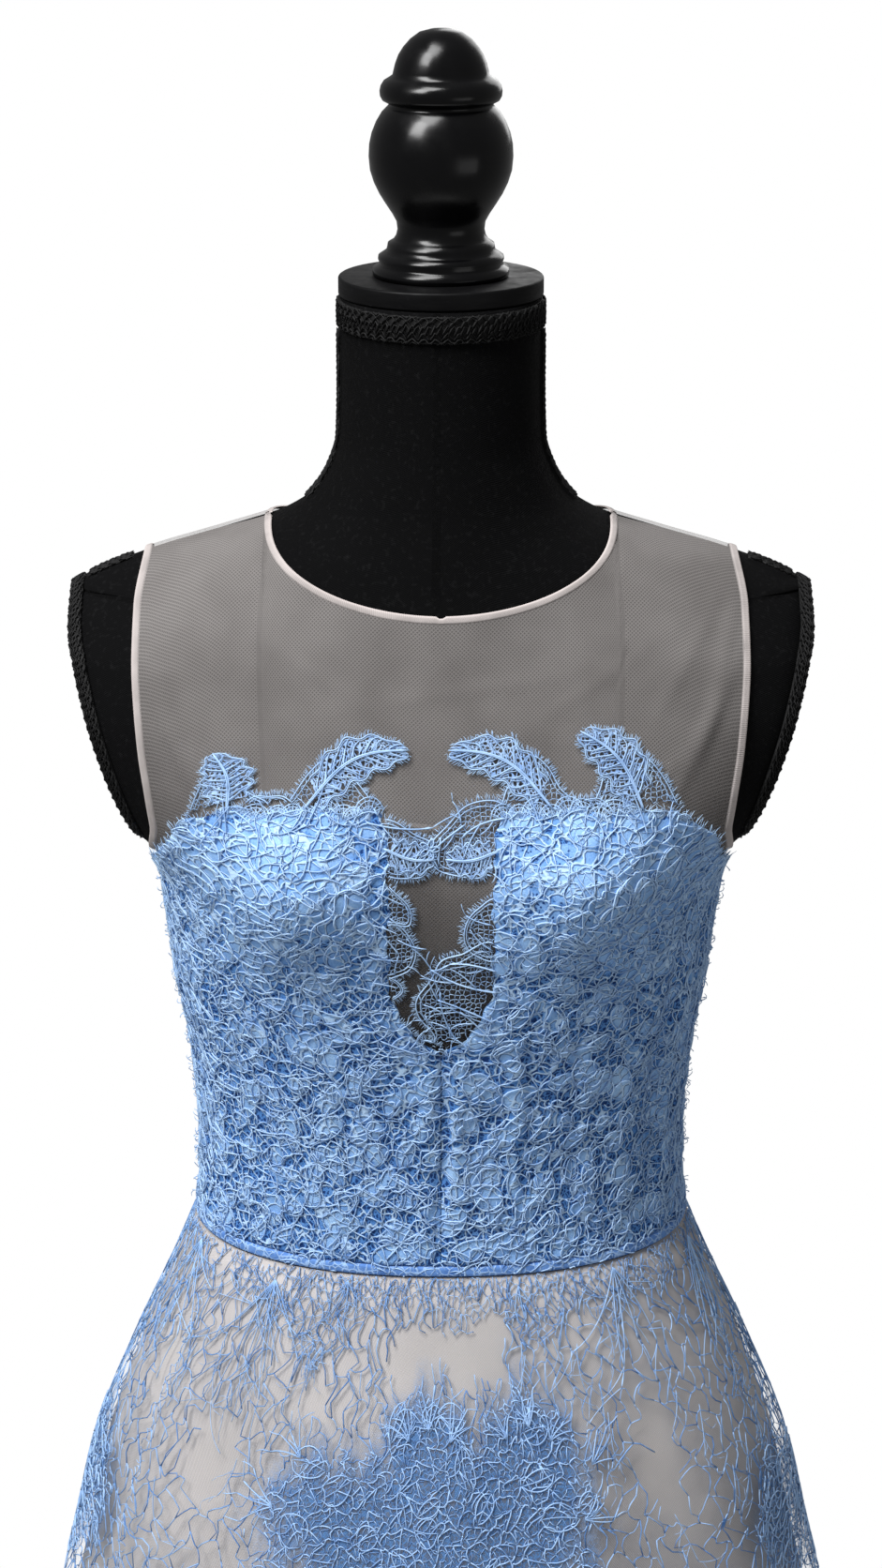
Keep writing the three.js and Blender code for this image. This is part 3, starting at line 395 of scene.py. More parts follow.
class Finish:
    """A procedural material: a Principled shader and the nodes that feed it."""

    def __init__(self, name, **sockets):
        self.material = bpy.data.materials.new(name)
        self.material.use_nodes = True
        self.tree = self.material.node_tree
        self.shader = self.tree.nodes["Principled BSDF"]
        self.where = self.node("TexCoord").outputs["Object"]
        self.set(**sockets)

    def set(self, **sockets):
        for key, value in sockets.items():
            self.plug(self.shader.inputs[key.replace("_", " ")], value)

    def plug(self, socket, value):
        if isinstance(value, bpy.types.NodeSocket):
            self.tree.links.new(value, socket)
        else:
            socket.default_value = value

    def node(self, kind, inputs=(), **settings):
        made = self.tree.nodes.new("ShaderNode" + kind)
        for key, value in settings.items():
            setattr(made, key, value)
        for key, value in dict(inputs).items():
            self.plug(made.inputs[key], value)
        return made

    def math(self, operation, first, second=0.0):
        return self.node("Math", {0: first, 1: second}, operation=operation).outputs[0]

    def add(self, first, second):
        return self.math("ADD", first, second)

    def times(self, first, second):
        return self.math("MULTIPLY", first, second)

    def vector(self, operation, first, second):
        return self.node("VectorMath", {0: first, 1: second}, operation=operation).outputs[0]

    def attribute(self, name, output="Fac"):
        return self.node("Attribute", attribute_name=name).outputs[output]

    def cloth(self):
        """The mesh's own coordinates along its cloth, in millimetres."""
        return self.attribute("cloth", "Vector")

    def stretched(self, along_z):
        """Object coordinates scaled along Z."""
        return self.node("Mapping", {"Vector": self.where, "Scale": (1, 1, along_z)}).outputs[0]

    def noise(self, size_mm, detail=2.0, where=None, roughness=0.5):
        inputs = {"Scale": 1 / MM / size_mm, "Detail": detail, "Roughness": roughness}
        return self.node("TexNoise", {**inputs, "Vector": where or self.where}).outputs["Fac"]

    def mottled(self, size_mm, detail, spread=0.15, reach=None):
        """Soft noise stretched to run from 0 to 1, or from -reach to reach."""
        low, high = (0.0, 1.0) if reach is None else (-reach, reach)
        return self.between(self.noise(size_mm, detail), 0.5 - spread, 0.5 + spread, low, high)

    def cells(self, where, size_mm, feature="DISTANCE_TO_EDGE"):
        """Voronoi cells over coordinates in millimetres."""
        inputs = {"Scale": 1 / size_mm, "Vector": where}
        return self.node("TexVoronoi", inputs, feature=feature).outputs["Distance"]

    def bent(self, where, size_mm, reach_mm):
        """Coordinates in millimetres, pushed about by soft noise."""
        push = self.node("TexNoise", {"Scale": 1 / size_mm, "Detail": 1.0, "Vector": where}).outputs["Color"]
        centred = self.vector("SUBTRACT", push, (0.5, 0.5, 0.5))
        return self.vector("ADD", where, self.vector("MULTIPLY", centred, (2 * reach_mm,) * 3))

    def threads(self, where, size_mm, half_mm, shift=(0, 0, 0)):
        """A net of threads about size_mm apart: 1 on a thread, 0 beside it."""
        edge = self.cells(self.vector("ADD", where, shift), size_mm)
        return self.between(edge, 0.5 * half_mm / size_mm, 1.4 * half_mm / size_mm, 1.0, 0.0)

    def between(self, value, low, high, to_low=0.0, to_high=1.0):
        inputs = {"Value": value, "From Min": low, "From Max": high, "To Min": to_low, "To Max": to_high}
        return self.node("MapRange", inputs).outputs[0]

    def blend(self, share, first, second):
        return self.node("Mix", {"Factor": share, 6: first, 7: second}, data_type="RGBA").outputs[2]

    def stripes(self, vector, across, up, period):
        """Waves from -1 to 1 along across * x + up * y of a vector in millimetres."""
        x, y, _ = self.node("SeparateXYZ", {"Vector": vector}).outputs
        along = self.add(self.times(x, across), self.times(y, up))
        return self.math("SINE", self.times(along, 2 * math.pi / period))

    def bump(self, height, distance_mm, strength):
        inputs = {"Height": height, "Distance": distance_mm * MM, "Strength": strength}
        self.set(Normal=self.node("Bump", inputs).outputs[0])


FELT_DARK, FELT_LIGHT, FELT_SHADE = rgb(84, 138, 206), rgb(164, 204, 248), rgb(86, 128, 180)
# The deep blue of the lace's open gaps, also used for the painted shadow beside its threads.
GAP_AND_SHADOW_BLUE, CORD_LIGHT = rgb(26, 60, 118), rgb(186, 217, 250)
NET_LIGHT, NET_DARK = rgb(176, 171, 169), rgb(160, 155, 153)


def thread_finish(name, dark, light):
    """Corded thread: its tone runs from dark to light, with fine twist and blotchy dye."""
    made = Finish(name, Roughness=0.7, Specular_IOR_Level=0.3)
    share = made.add(made.attribute("tone"), made.mottled(9, 3, reach=0.18))
    made.set(Base_Color=made.blend(share, dark, light))
    made.bump(made.noise(0.9, 1), 0.12, 0.6)
    return made.material


def lace_ground_finish():
    """Felted patches under raised threads, with a fine net and its deep blue gaps between them, and a
    painted shadow along one side of each wide thread.
    """
    made = Finish("lace_ground", Roughness=0.85, Specular_IOR_Level=0.2)
    tone = made.attribute("tone")
    loose = made.bent(made.cloth(), 5.0, 1.6)
    felt = made.mottled(0.9, 2, 0.2, 0.12)
    blotch = made.mottled(14, 3, 0.2, 0.16)
    patch = made.between(made.add(made.add(tone, felt), blotch), 0.1, 0.9)
    felted = made.blend(patch, FELT_DARK, FELT_LIGHT)
    netted = made.blend(made.threads(loose, 2.5, 0.3), GAP_AND_SHADOW_BLUE, made.blend(blotch, FELT_DARK, FELT_LIGHT))
    covered = made.between(made.add(tone, made.mottled(5, 3, 0.2, 0.2)), 0.3, 0.36)
    ground = made.blend(covered, netted, felted)
    holes = made.between(made.cells(loose, 2.5, "F1"), 0.2, 0.32, 1.0, 0.0)
    pricked = made.times(holes, made.between(made.noise(15, 2), 0.55, 0.6))
    ground = made.blend(pricked, ground, GAP_AND_SHADOW_BLUE)
    wide = made.threads(loose, 6.5, 0.36)
    # Painted shadow: the wide threads again, shifted a little, drawn as a dark line along the side of each
    # thread that faces away from the light.
    shadow = made.threads(loose, 6.5, 0.4, shift=(-0.55, 0.55, 0))
    ground = made.blend(made.times(shadow, 0.75), ground, GAP_AND_SHADOW_BLUE)
    made.set(Base_Color=made.blend(wide, ground, CORD_LIGHT))
    height = made.add(wide, made.times(covered, 0.5))
    made.bump(made.add(height, made.times(felt, 1.2)), 0.5, 0.8)
    return made.material


def sheer_finish(name, light, dark, period, alpha, dense=None, fade=None):
    """Sheer net of fine crossed threads, so that what lies under it shows through.

    dense and fade name point attributes: where more blue net lies on it, which is also drawn darker there as
    painted shade under its many cords, and how much of it shows.
    """
    made = Finish(name, Roughness=0.85, Specular_IOR_Level=0.2)
    cloth = made.cloth()
    threads = made.math("MAXIMUM", *(made.stripes(cloth, 0.71, up, period) for up in (0.71, -0.71)))
    shown = made.between(threads, -0.2, 1.0, *alpha)
    colour = made.blend(made.mottled(40, 2), dark, light)
    if dense:
        share = made.attribute(dense)
        net = made.between(made.cells(cloth, 3.2), 0.03, 0.16, 0.9, 0.3)
        shown = made.add(shown, made.times(share, net))
        # Where the net is dense the tulle takes a darker blue: the denser net itself, and painted shade
        # under the many cords there.
        colour = made.blend(share, colour, FELT_SHADE)
    # Less of the net shows where fade is low; on the keyhole this is painted shade towards its bottom.
    if fade:
        shown = made.times(shown, made.attribute(fade))
    made.set(Base_Color=colour, Alpha=shown)
    made.bump(threads, 0.15, 0.5)
    return made.material


def cell_net_finish(name, light, dark, size, line):
    """A fine machine net: round holes between light threads."""
    made = Finish(name, Roughness=0.8, Specular_IOR_Level=0.2)
    edge = made.cells(made.bent(made.cloth(), 4.0, 0.6), size)
    alpha = made.between(edge, line * 0.6, line * 1.3, 0.95, 0.0)
    made.set(Base_Color=made.blend(made.mottled(12, 2), dark, light), Alpha=alpha)
    made.bump(alpha, 0.15, 0.4)
    return made.material


def binding_finish():
    """Folded tape of the yoke's mesh, brightest along its free edge."""
    made = Finish("binding_tape", Roughness=0.75, Specular_IOR_Level=0.25)
    folded = made.blend(made.mottled(14, 3), rgb(150, 144, 142), rgb(170, 163, 161))
    made.set(Base_Color=made.blend(made.attribute("tone"), folded, rgb(204, 194, 191)))
    made.bump(made.stripes(made.cloth(), 1.0, 0.35, 0.9), 0.1, 0.6)
    return made.material


def lining_finish():
    """Grey-beige twill with a soft sheen."""
    made = Finish("lining_twill", Roughness=0.62, Sheen_Weight=0.25, Sheen_Roughness=0.35)
    cloth = made.cloth()
    twill = made.stripes(cloth, 1.0, 0.62, 1.15)
    cross = made.stripes(cloth, 0.4, -1.0, 0.8)
    weave = made.add(made.times(twill, 0.7), made.times(cross, 0.3))
    share = made.between(made.add(weave, made.mottled(60, 3, reach=0.3)), -0.9, 0.9)
    made.set(Base_Color=made.blend(share, rgb(170, 164, 160), rgb(212, 204, 198)))
    made.bump(weave, 0.12, 0.7)
    return made.material


def band_finish():
    """The waist band: felted like the lace above it."""
    made = Finish("band_felt", Roughness=0.8, Specular_IOR_Level=0.2)
    ground = made.blend(made.mottled(9, 3, 0.2), rgb(76, 118, 186), rgb(108, 150, 212))
    thread = made.threads(made.bent(made.cloth(), 5.0, 1.2), 4.0, 0.3)
    made.set(Base_Color=made.blend(made.times(thread, 0.5), ground, CORD_LIGHT))
    made.bump(made.add(thread, made.noise(0.9, 2)), 0.3, 0.7)
    return made.material


def jersey_finish():
    """Black jersey: fine knitted ribs and a little lint."""
    made = Finish("black_jersey", Roughness=0.95, Specular_IOR_Level=0.08)
    cloth = made.cloth()
    knit = made.times(made.stripes(cloth, 1.0, 0.0, 1.3), made.stripes(cloth, 0.0, 1.0, 1.0))
    lint = made.between(made.noise(2.5, 4), 0.55, 0.75)
    made.set(Base_Color=made.blend(lint, rgb(8, 8, 9), rgb(20, 20, 21)))
    made.bump(knit, 0.2, 0.7)
    return made.material


def gloss_finish():
    """Black lacquer, a little worn."""
    made = Finish("black_lacquer", Specular_IOR_Level=0.26)
    made.set(Base_Color=made.blend(made.noise(30, 4), rgb(2, 2, 3), rgb(6, 6, 7)))
    made.set(Roughness=made.between(made.noise(12, 5), 0.35, 0.7, 0.17, 0.3))
    made.bump(made.noise(18, 2), 0.15, 0.25)
    return made.material


def wood_finish():
    """Matt black stain over turned wood, with hairline scratches round it."""
    made = Finish("black_wood", Specular_IOR_Level=0.12)
    round_it = made.stretched(9)
    grain = made.noise(14, 6, round_it, 0.7)
    scratch = made.between(made.noise(5, 8, round_it, 0.8), 0.62, 0.7)
    made.set(Base_Color=made.blend(scratch, rgb(7, 7, 8), rgb(48, 48, 50)))
    made.set(Roughness=made.between(grain, 0.3, 0.7, 0.38, 0.62))
    made.bump(grain, 0.2, 0.4)
    return made.material


def metal_finish(name, dark, light, roughness, metallic):
    """Enamelled or brushed metal, brushed up and down."""
    made = Finish(name, Metallic=metallic)
    brushed = made.noise(3, 4, made.stretched(0.1))
    made.set(Base_Color=made.blend(brushed, dark, light))
    made.set(Roughness=made.between(brushed, 0.3, 0.7, roughness - 0.08, roughness + 0.1))
    made.bump(brushed, 0.05, 0.3)
    return made.material


GLOSS = gloss_finish()
WOOD = wood_finish()
JERSEY = jersey_finish()
BRAID = thread_finish("black_braid", rgb(5, 5, 6), rgb(13, 13, 14))
STAND_METAL = metal_finish("stand_metal", rgb(22, 22, 24), rgb(44, 44, 48), 0.36, 0.8)
ZIP_METAL = metal_finish("zip_enamel", rgb(128, 164, 214), rgb(160, 190, 230), 0.34, 0.3)
YOKE_NET = sheer_finish("yoke_net", NET_LIGHT, NET_DARK, 1.4, (0.26, 0.46))
KEYHOLE_NET = sheer_finish("keyhole_net", NET_LIGHT, NET_DARK, 1.4, (0.28, 0.48), fade="fade")
BINDING = binding_finish()
LACE_GROUND = lace_ground_finish()
LACE_CORD = thread_finish("lace_cord", rgb(86, 134, 198), CORD_LIGHT)
SKIRT_CORD = thread_finish("skirt_cord", rgb(84, 130, 192), rgb(172, 206, 246))
LEAF_NET = cell_net_finish("leaf_net", rgb(176, 206, 244), rgb(140, 176, 226), 2.3, 0.11)
TULLE = sheer_finish("skirt_tulle", rgb(170, 190, 220), rgb(150, 174, 210), 1.3, (0.02, 0.12), dense="dense")
LINING = lining_finish()
BAND = band_finish()

# ---------------------------------------------------------------- the dress form

# radius, z
FINIAL_PROFILE = [
    (33.6, 1480.3), (33.9, 1482), (33.6, 1484), (31.2, 1485.2), (30.5, 1486.5), (31.2, 1488.5), (31, 1490),
    (28.6, 1491.6), (27, 1492.8), (26.6, 1494.5), (26.3, 1496.2), (23.6, 1497.8), (22.2, 1500), (21.5, 1503),
    (22, 1507), (24.2, 1511), (27.4, 1515.8), (30.4, 1520.6), (33, 1526), (34.9, 1532), (35.5, 1538.5),
    (35.2, 1544.5), (34, 1550), (31.8, 1555.4), (29, 1560), (26.6, 1562.4), (25.4, 1563.8), (26.4, 1564.6),
    (28.7, 1565.8), (29.8, 1567.8), (30, 1570.2), (29.5, 1572.6), (28, 1575), (25.4, 1576.6), (23.7, 1577.8),
    (23.2, 1580), (22.3, 1583.5), (20.8, 1587.4), (18.4, 1591.2), (15, 1595), (10.6, 1598.2),
    (5, 1599.7), (1, 1600),
]


def rounded_rim(radius, bottom, top, edge):
    """A turned disc profile whose rims are rounded."""
    turn = np.linspace(0, math.pi / 2, 5)
    low = [(radius - edge + edge * math.sin(a), bottom + edge - edge * math.cos(a)) for a in turn]
    high = [(radius - edge + edge * math.cos(a), top - edge + edge * math.sin(a)) for a in turn]
    return [(1, bottom), *low, *high, (1, top)]


def torso_ring(z):
    """One ring of the padded form; the arm plates flatten it at the sides."""
    quarter, plate_steps = 24, 5
    on_plate = z >= ARM_PLATE[0, 0]
    limit = min(float(plate_x(z)), float(body_width(z))) - FORM_INSET

    def quarter_angles(behind):
        edge = 80 * DEG
        if on_plate and body_width(z) > plate_x(z):
            edge = float(angle_at(plate_x(z), z, behind))
            edge = math.pi - edge if behind else edge
        before = np.linspace(0, edge, quarter - plate_steps + 1)
        return np.concatenate([before, np.linspace(edge, 90 * DEG, plate_steps + 1)[1:]])

    front, back = quarter_angles(False), math.pi - quarter_angles(True)
    left = np.concatenate([front, back[::-1][1:]])
    angles = np.concatenate([left, -left[1:-1][::-1]])
    points, normals = body_point(angles, z), normal_of(body_point, angles, z)
    drawn_in = 10 * (1 - smooth(z, HIP_BOTTOM_Z, HIP_BOTTOM_Z + 10))
    normals[:, 2] = 0
    points = points - unit(normals) * (FORM_INSET + drawn_in)
    if on_plate:
        points[:, 0] = np.clip(points[:, 0], -limit, limit)
    return points


def build_form():
    heights = np.concatenate([
        np.linspace(HIP_BOTTOM_Z, 790, 6), np.linspace(800, 1160, 19), np.linspace(1168, 1290, 32),
        np.linspace(1293, 1370, 40), np.linspace(1374, NECK_TOP_Z - 0.5, 20),
    ])
    rings = np.stack([torso_ring(z) for z in heights], 1)
    torso = round_solid("torso_padding", rings, JERSEY, {"cloth": cloth_map(rings).reshape(-1, 3)})
    place(torso, slot="form_jersey", replaces=["form_torso"])
    collar_top = HIP_BOTTOM_Z - SEAM_GAP
    collar_bottom = collar_top - 14
    base_height = 22
    disc_bottom, disc_top = NECK_TOP_Z - 0.2, FINIAL_PROFILE[0][1] - SEAM_GAP
    pole_bottom, pole_top = base_height + SEAM_GAP, collar_bottom - SEAM_GAP
    turned_pieces = [  # name, profile, finish, slot
        ("finial", FINIAL_PROFILE, GLOSS, "form_gloss"),
        ("neck_disc", rounded_rim(51, disc_bottom, disc_top, 1.2), WOOD, "form_wood"),
        ("collar", rounded_rim(34, collar_bottom, collar_top, 3), STAND_METAL, "form_metal"),
        ("pole", rounded_rim(16, pole_bottom, pole_top, 1), STAND_METAL, "form_metal"),
        ("base", rounded_rim(190, 0, base_height, 6), WOOD, "form_wood"),
    ]
    for name, profile, finish, slot in turned_pieces:
        place(lathe("stand_" + name, profile, finish), slot=slot, replaces=["form_" + name])


# ---------------------------------------------------------------- braid on the form

BRAID_STRANDS = [  # share of the half width, swing as such a share, phase
    (0.0, 0.42, 0.0), (0.0, 0.42, math.pi), (-0.42, 0.3, 0.0), (0.42, 0.3, math.pi),
    (-0.8, 0.2, 0.0), (0.8, 0.2, 0.0),
]
BRAID_PITCH = 5.5
BRAID_NECK_RADIUS = 52
BRAID_NECK_HALF = 6.5
NECK_SIDE_Z = 1368  # where the braid at the side of the neck starts
SHOULDER_BRAID_X = (156, 180)
PLATE_BRAID_HALF = 0.4 * BRAID_WIDTH
PLATE_BRAID_MARGIN = 0.8


def braid(name, path_of, length, half):
    """A gimp braid, a thin tape with woven strands, along a path: path_of(along, across) is angle and z."""

    def surface(along, across, lift):
        return lifted(body_point, *path_of(along, across), lift)

    along = np.linspace(0, length, max(int(length / 3), 4))
    s, t = np.meshgrid(along, np.linspace(-half, half, 5), indexing="ij")
    outer, _ = surface(s, t, 0.7 * np.sqrt(np.clip(1 - (t / half) ** 2, 0, 1)) - 0.4)
    inner, _ = surface(s, t, np.full(s.shape, -FORM_INSET + 0.05))
    tape = place(sheet_wall(name + "_tape", outer, inner, BRAID), slot="form_braid", replaces=[name])
    cords = Cords()
    fine = np.arange(0, length, 1.5)
    for share, swing, phase in BRAID_STRANDS:
        wave = 2 * math.pi * fine / BRAID_PITCH + phase
        cords.add(fine, half * (share + swing * np.sin(wave)), 0.62, 0.7 + 0.45 * np.cos(wave), 0.5)
    twist = 2 * math.pi * fine / (BRAID_PITCH / 2)
    loops = np.clip(fine + 0.9 * np.sin(twist), 0, length)
    for edge in (-1, 1):
        cords.add(loops, edge * half * (0.96 + 0.1 * np.cos(twist)), 0.5, 0.3, 0.7)
    place(cords.build(name + "_strands", surface, BRAID), slot="form_braid")


def over_shoulder(x, y):
    """The angle and height of the body's surface above a place on the shoulder."""
    angle = np.arctan2(x, -y)

    def below(z):
        return np.hypot(x, y) < np.hypot(*np.moveaxis(body_point(angle, z)[..., :2], -1, 0))

    return angle, solve_height(np.shape(angle), 1250, 1365, below)


def build_braids():
    neck_z = NECK_TOP_Z - 2 - BRAID_NECK_HALF
    braid("braid_neck", lambda s, t: (-math.pi + s / BRAID_NECK_RADIUS, neck_z + t),
          2 * math.pi * BRAID_NECK_RADIUS * 0.999, BRAID_NECK_HALF)
    for side, label in ((1, "left"), (-1, "right")):

        def up_the_neck(s, t, side=side):
            return side * (90 * DEG + t / 55), NECK_SIDE_Z + s

        def over_the_ridge(s, t, side=side):
            angle, z = over_shoulder(SHOULDER_BRAID_X[0] + s, t)
            return side * angle, z

        ridge_length = SHOULDER_BRAID_X[1] - SHOULDER_BRAID_X[0]
        braid("braid_neck_side_" + label, up_the_neck, NECK_TOP_Z - 16 - NECK_SIDE_Z, BRAID_WIDTH / 2)
        braid("braid_shoulder_" + label, over_the_ridge, ridge_length, BRAID_WIDTH / 2)
        braid("braid_arm_plate_" + label, *rim_path(side), PLATE_BRAID_HALF)


def rim_path(side):
    """Round the rim of an arm plate, from the underarm in front over the shoulder tip and down behind."""
    inset = PLATE_BRAID_MARGIN + PLATE_BRAID_HALF
    heights = np.linspace(1204, 1312, 60)
    heights = heights[heights < 1297]
    tip_angle, tip_z = over_shoulder(float(plate_x(1316)) - inset, np.linspace(-28, 28, 24))
    angle = np.concatenate([
        angle_at(plate_x(heights) - inset, heights), tip_angle,
        angle_at(plate_x(heights[::-1]) - inset, heights[::-1], True),
    ])
    z = np.concatenate([heights, tip_z, heights[::-1]])
    points = body_point(angle, z)
    length = np.concatenate([[0], np.cumsum(np.linalg.norm(np.diff(points, axis=0), axis=1))])
    across = unit(np.cross(normal_of(body_point, angle, z), unit(np.gradient(points, axis=0))))
    around = np.stack([np.cos(angle), np.sin(angle), 0 * angle], -1)
    angle_across = (across * around).sum(-1) / np.hypot(points[:, 0], points[:, 1])

    def path(s, t):
        turn = np.interp(s, length, angle) + t * np.interp(s, length, angle_across)
        return side * turn, np.interp(s, length, z) + t * np.interp(s, length, across[:, 2])

    return path, float(length[-1])


# ---------------------------------------------------------------- the yoke


def neckline_z(x, drop, margin):
    """The neck edge, or a line that keeps a margin outside it."""
    share = np.minimum(np.abs(x) / (SIDE_NECK_X + margin), 1)
    return SIDE_NECK_Z - (drop + margin) * (1 - share ** 2) ** (1 / 1.9)


def ridge_z(x_of, shape):
    """The height of the shoulder ridge over each column."""
    return solve_height(shape, 1300, 1390, lambda z: body_width(z) > np.abs(x_of(z))) - RIDGE_GAP


def bodice_edge_z(x_of, behind, shape):
    """The height of the lace's cut top edge over each column."""
    return solve_height(
        shape, 1170, 1245, lambda z: z < bodice_top_z(np.abs(angle_at(x_of(z), z, behind)) / DEG),
    )


def column_heights(x_of, bottom, top, rows, behind):
    """Heights up each column, evenly spaced along the cloth. bottom and top have one column each."""
    t = np.linspace(1, 0, 81) ** 2
    fine = top + (bottom - top) * t
    trail = body_point(angle_at(x_of(fine), fine, behind), fine)
    length = np.cumsum(np.linalg.norm(np.diff(trail, axis=1), axis=-1), axis=1)
    length = np.concatenate([np.zeros((len(length), 1)), length], 1)
    shares = np.linspace(0, 1, rows)
    return np.stack([np.interp(shares * run[-1], run, z) for run, z in zip(length, fine)])


def crease(x, z):
    """Soft pulls in the yoke near the armholes, the longest on the wearer's left."""
    pulls = [  # x, z, direction in degrees, length, height
        (128, 1262, 62, 46, 1.3), (138, 1292, 75, 34, 1.0), (112, 1248, 48, 30, 0.8),
        (122, 1300, 58, 30, 0.7), (-130, 1258, 118, 40, 1.2), (-138, 1290, 104, 30, 0.9),
        (-114, 1296, 125, 26, 0.6), (84, 1296, 30, 40, 0.45), (-70, 1300, 150, 42, 0.45),
        (20, 1290, 8, 60, 0.35),
    ]
    total = np.zeros(np.broadcast(x, z).shape)
    for at_x, at_z, turn, length, height in pulls:
        c, s = math.cos(turn * DEG), math.sin(turn * DEG)
        along, across = (x - at_x) * c + (z - at_z) * s, (z - at_z) * c - (x - at_x) * s
        total += height * np.exp(-(along / length) ** 2 - (across / 3.6) ** 2)
    return total


def on_ridge(points, behind):
    """Keeps front cloth in front of the shoulder ridge and back cloth behind it."""
    keep = SEAM_GAP / 2
    y = points[..., 1]
    points[..., 1] = np.maximum(y, keep) if behind else np.minimum(y, -keep)
    return points


YOKE_UNDERLAP = 18  # of the yoke net and its bindings at the armholes, sewn under the lace
YOKE_TUCK = 2.5  # of the yoke net's edge from the binding's free edge, which folds over it
NET_LIFT = CLOTH_LIFT + 0.5
TAPE_WIDTH = 3.9
TAPE_RISE = 1.0
TAPE_ROWS = 9


def yoke_side_x(z):
    """The armhole edge, which turns outwards where it goes under the lace."""
    spare = np.clip(body_width(z) - 2.5 - arm_edge_x(z), 0, 4)
    return arm_edge_x(z) + spare * smooth(1216 - z, 0, 18)


def yoke_grid(shares, drop, behind):
    """Grid points of a yoke piece; each column keeps a share of the way to the armhole."""
    column = np.asarray(shares)[:, None]

    def x_of(z):
        return column * (yoke_side_x(z) - YOKE_TUCK)

    underlap = 4 + (YOKE_UNDERLAP - 4) * smooth(np.abs(column), 0.7, 0.95)
    bottom = bodice_edge_z(x_of, behind, column.shape) - underlap
    ridge = ridge_z(x_of, column.shape)
    side_x = x_of(SIDE_NECK_Z)
    neck = neckline_z(side_x, drop, YOKE_TUCK)
    top = np.where(np.abs(side_x) < SIDE_NECK_X + YOKE_TUCK, np.minimum(neck, ridge), ridge)
    z = column_heights(x_of, bottom, top, 46, behind)
    x = x_of(z)
    points, _ = lifted(body_point, angle_at(x, z, behind), z, NET_LIFT + crease(x, z))
    return on_ridge(points, behind)


def keyhole_grid():
    """Grid points of the mesh behind the keyhole and their heights."""
    x, row = np.meshgrid(28 * np.linspace(-1, 1, 31), np.linspace(0, 1, 60), indexing="ij")
    bottom = 1101
    z = bottom + row * (bodice_edge_z(lambda z: x, False, x.shape) - bottom - 2)
    points, _ = lifted(body_point, angle_at(x, z), z, NET_LIFT)
    return points, z


def build_yoke():
    half = np.linspace(0.0015, 1, 61)
    keyhole, keyhole_z = keyhole_grid()
    # The keyhole's net shows less towards its bottom, so that the black form darkens it there: painted shade
    # between and below the busts.
    fade = {"fade": smooth(keyhole_z, 1060, 1240)}
    sheets = [  # name, grid, node, flat size, area, finish, attributes
        ("yoke_front_net", yoke_grid(np.linspace(-1, 1, 121), FRONT_NECK_DROP, False), "yoke_front",
         (0.295, 0.15), 0.038, YOKE_NET, None),
        ("yoke_back_left_net", yoke_grid(half, BACK_NECK_DROP, True)[::-1], "yoke_back_left",
         (0.15, 0.165), 0.0235, YOKE_NET, None),
        ("yoke_back_right_net", yoke_grid(-half, BACK_NECK_DROP, True), "yoke_back_right",
         (0.15, 0.165), 0.0235, YOKE_NET, None),
        ("keyhole_net", keyhole, "keyhole_mesh", (0.056, 0.13), None, KEYHOLE_NET, fade),
    ]
    for name, grid, node, flat, area, finish, attributes in sheets:
        made = place(open_sheet(name, grid, finish, attributes), slot="yoke_mesh", replaces=[node])


def rounded_strip(name, angle, z, rise, finish, slot, node, behind=None, free=None):
    """A folded tape: columns run along it and rows across it, with rounded edges.

    free is the row of its free edge, which shows brightest.
    """
    across = np.linspace(-1, 1, z.shape[1])[None, :]
    profile = np.sqrt(np.clip(1 - across ** 4, 0, 1))
    outer, _ = lifted(body_point, angle, z, CLOTH_LIFT + 0.25 + (rise - 0.25) * profile)
    inner, _ = lifted(body_point, angle, z, np.full(z.shape, CLOTH_LIFT))
    if behind is not None:
        outer, inner = on_ridge(outer, behind), on_ridge(inner, behind)
    tone = None if free is None else {"tone": np.exp(-2.2 * np.abs(across[0, free] - across)) + 0 * z}
    return place(sheet_wall(name, outer, inner, finish, tone), slot=slot, replaces=[node])


def neck_strip(drop, behind, start, stop, count, notch):
    """Angle and height over a neck binding, from one turn round the neck edge to another."""
    turn, margin = np.meshgrid(
        np.linspace(start, stop, count), np.linspace(TAPE_WIDTH, 0, TAPE_ROWS), indexing="ij",
    )
    x = (SIDE_NECK_X + margin) * np.sin(turn)
    z = np.minimum(neckline_z(x, drop, margin), ridge_z(lambda z: x, x.shape))
    z = z - notch * np.exp(-(x / 1.3) ** 2) * (1 - margin / TAPE_WIDTH)
    return angle_at(x, z, behind), z


def armhole_strip(side):
    """Angle and height over an armhole binding, from the front lace over the shoulder to the back lace."""
    insets = np.linspace(0, TAPE_WIDTH, TAPE_ROWS)[:, None]

    def x_of(z):
        return side * (yoke_side_x(z) - insets)

    def inner_x(z):
        return side * (yoke_side_x(z) - BINDING_WIDTH) + 0 * insets

    grids = []
    for behind in (False, True):
        bottom = bodice_edge_z(inner_x, behind, insets.shape) - YOKE_UNDERLAP
        z = column_heights(x_of, bottom, ridge_z(x_of, insets.shape), 50, behind)
        grids.append(np.stack([angle_at(x_of(z), z, behind), z]))
    front, back = grids
    angle, z = np.concatenate([front, back[..., ::-1]], -1).transpose(0, 2, 1)[:, ::side]
    return angle, z


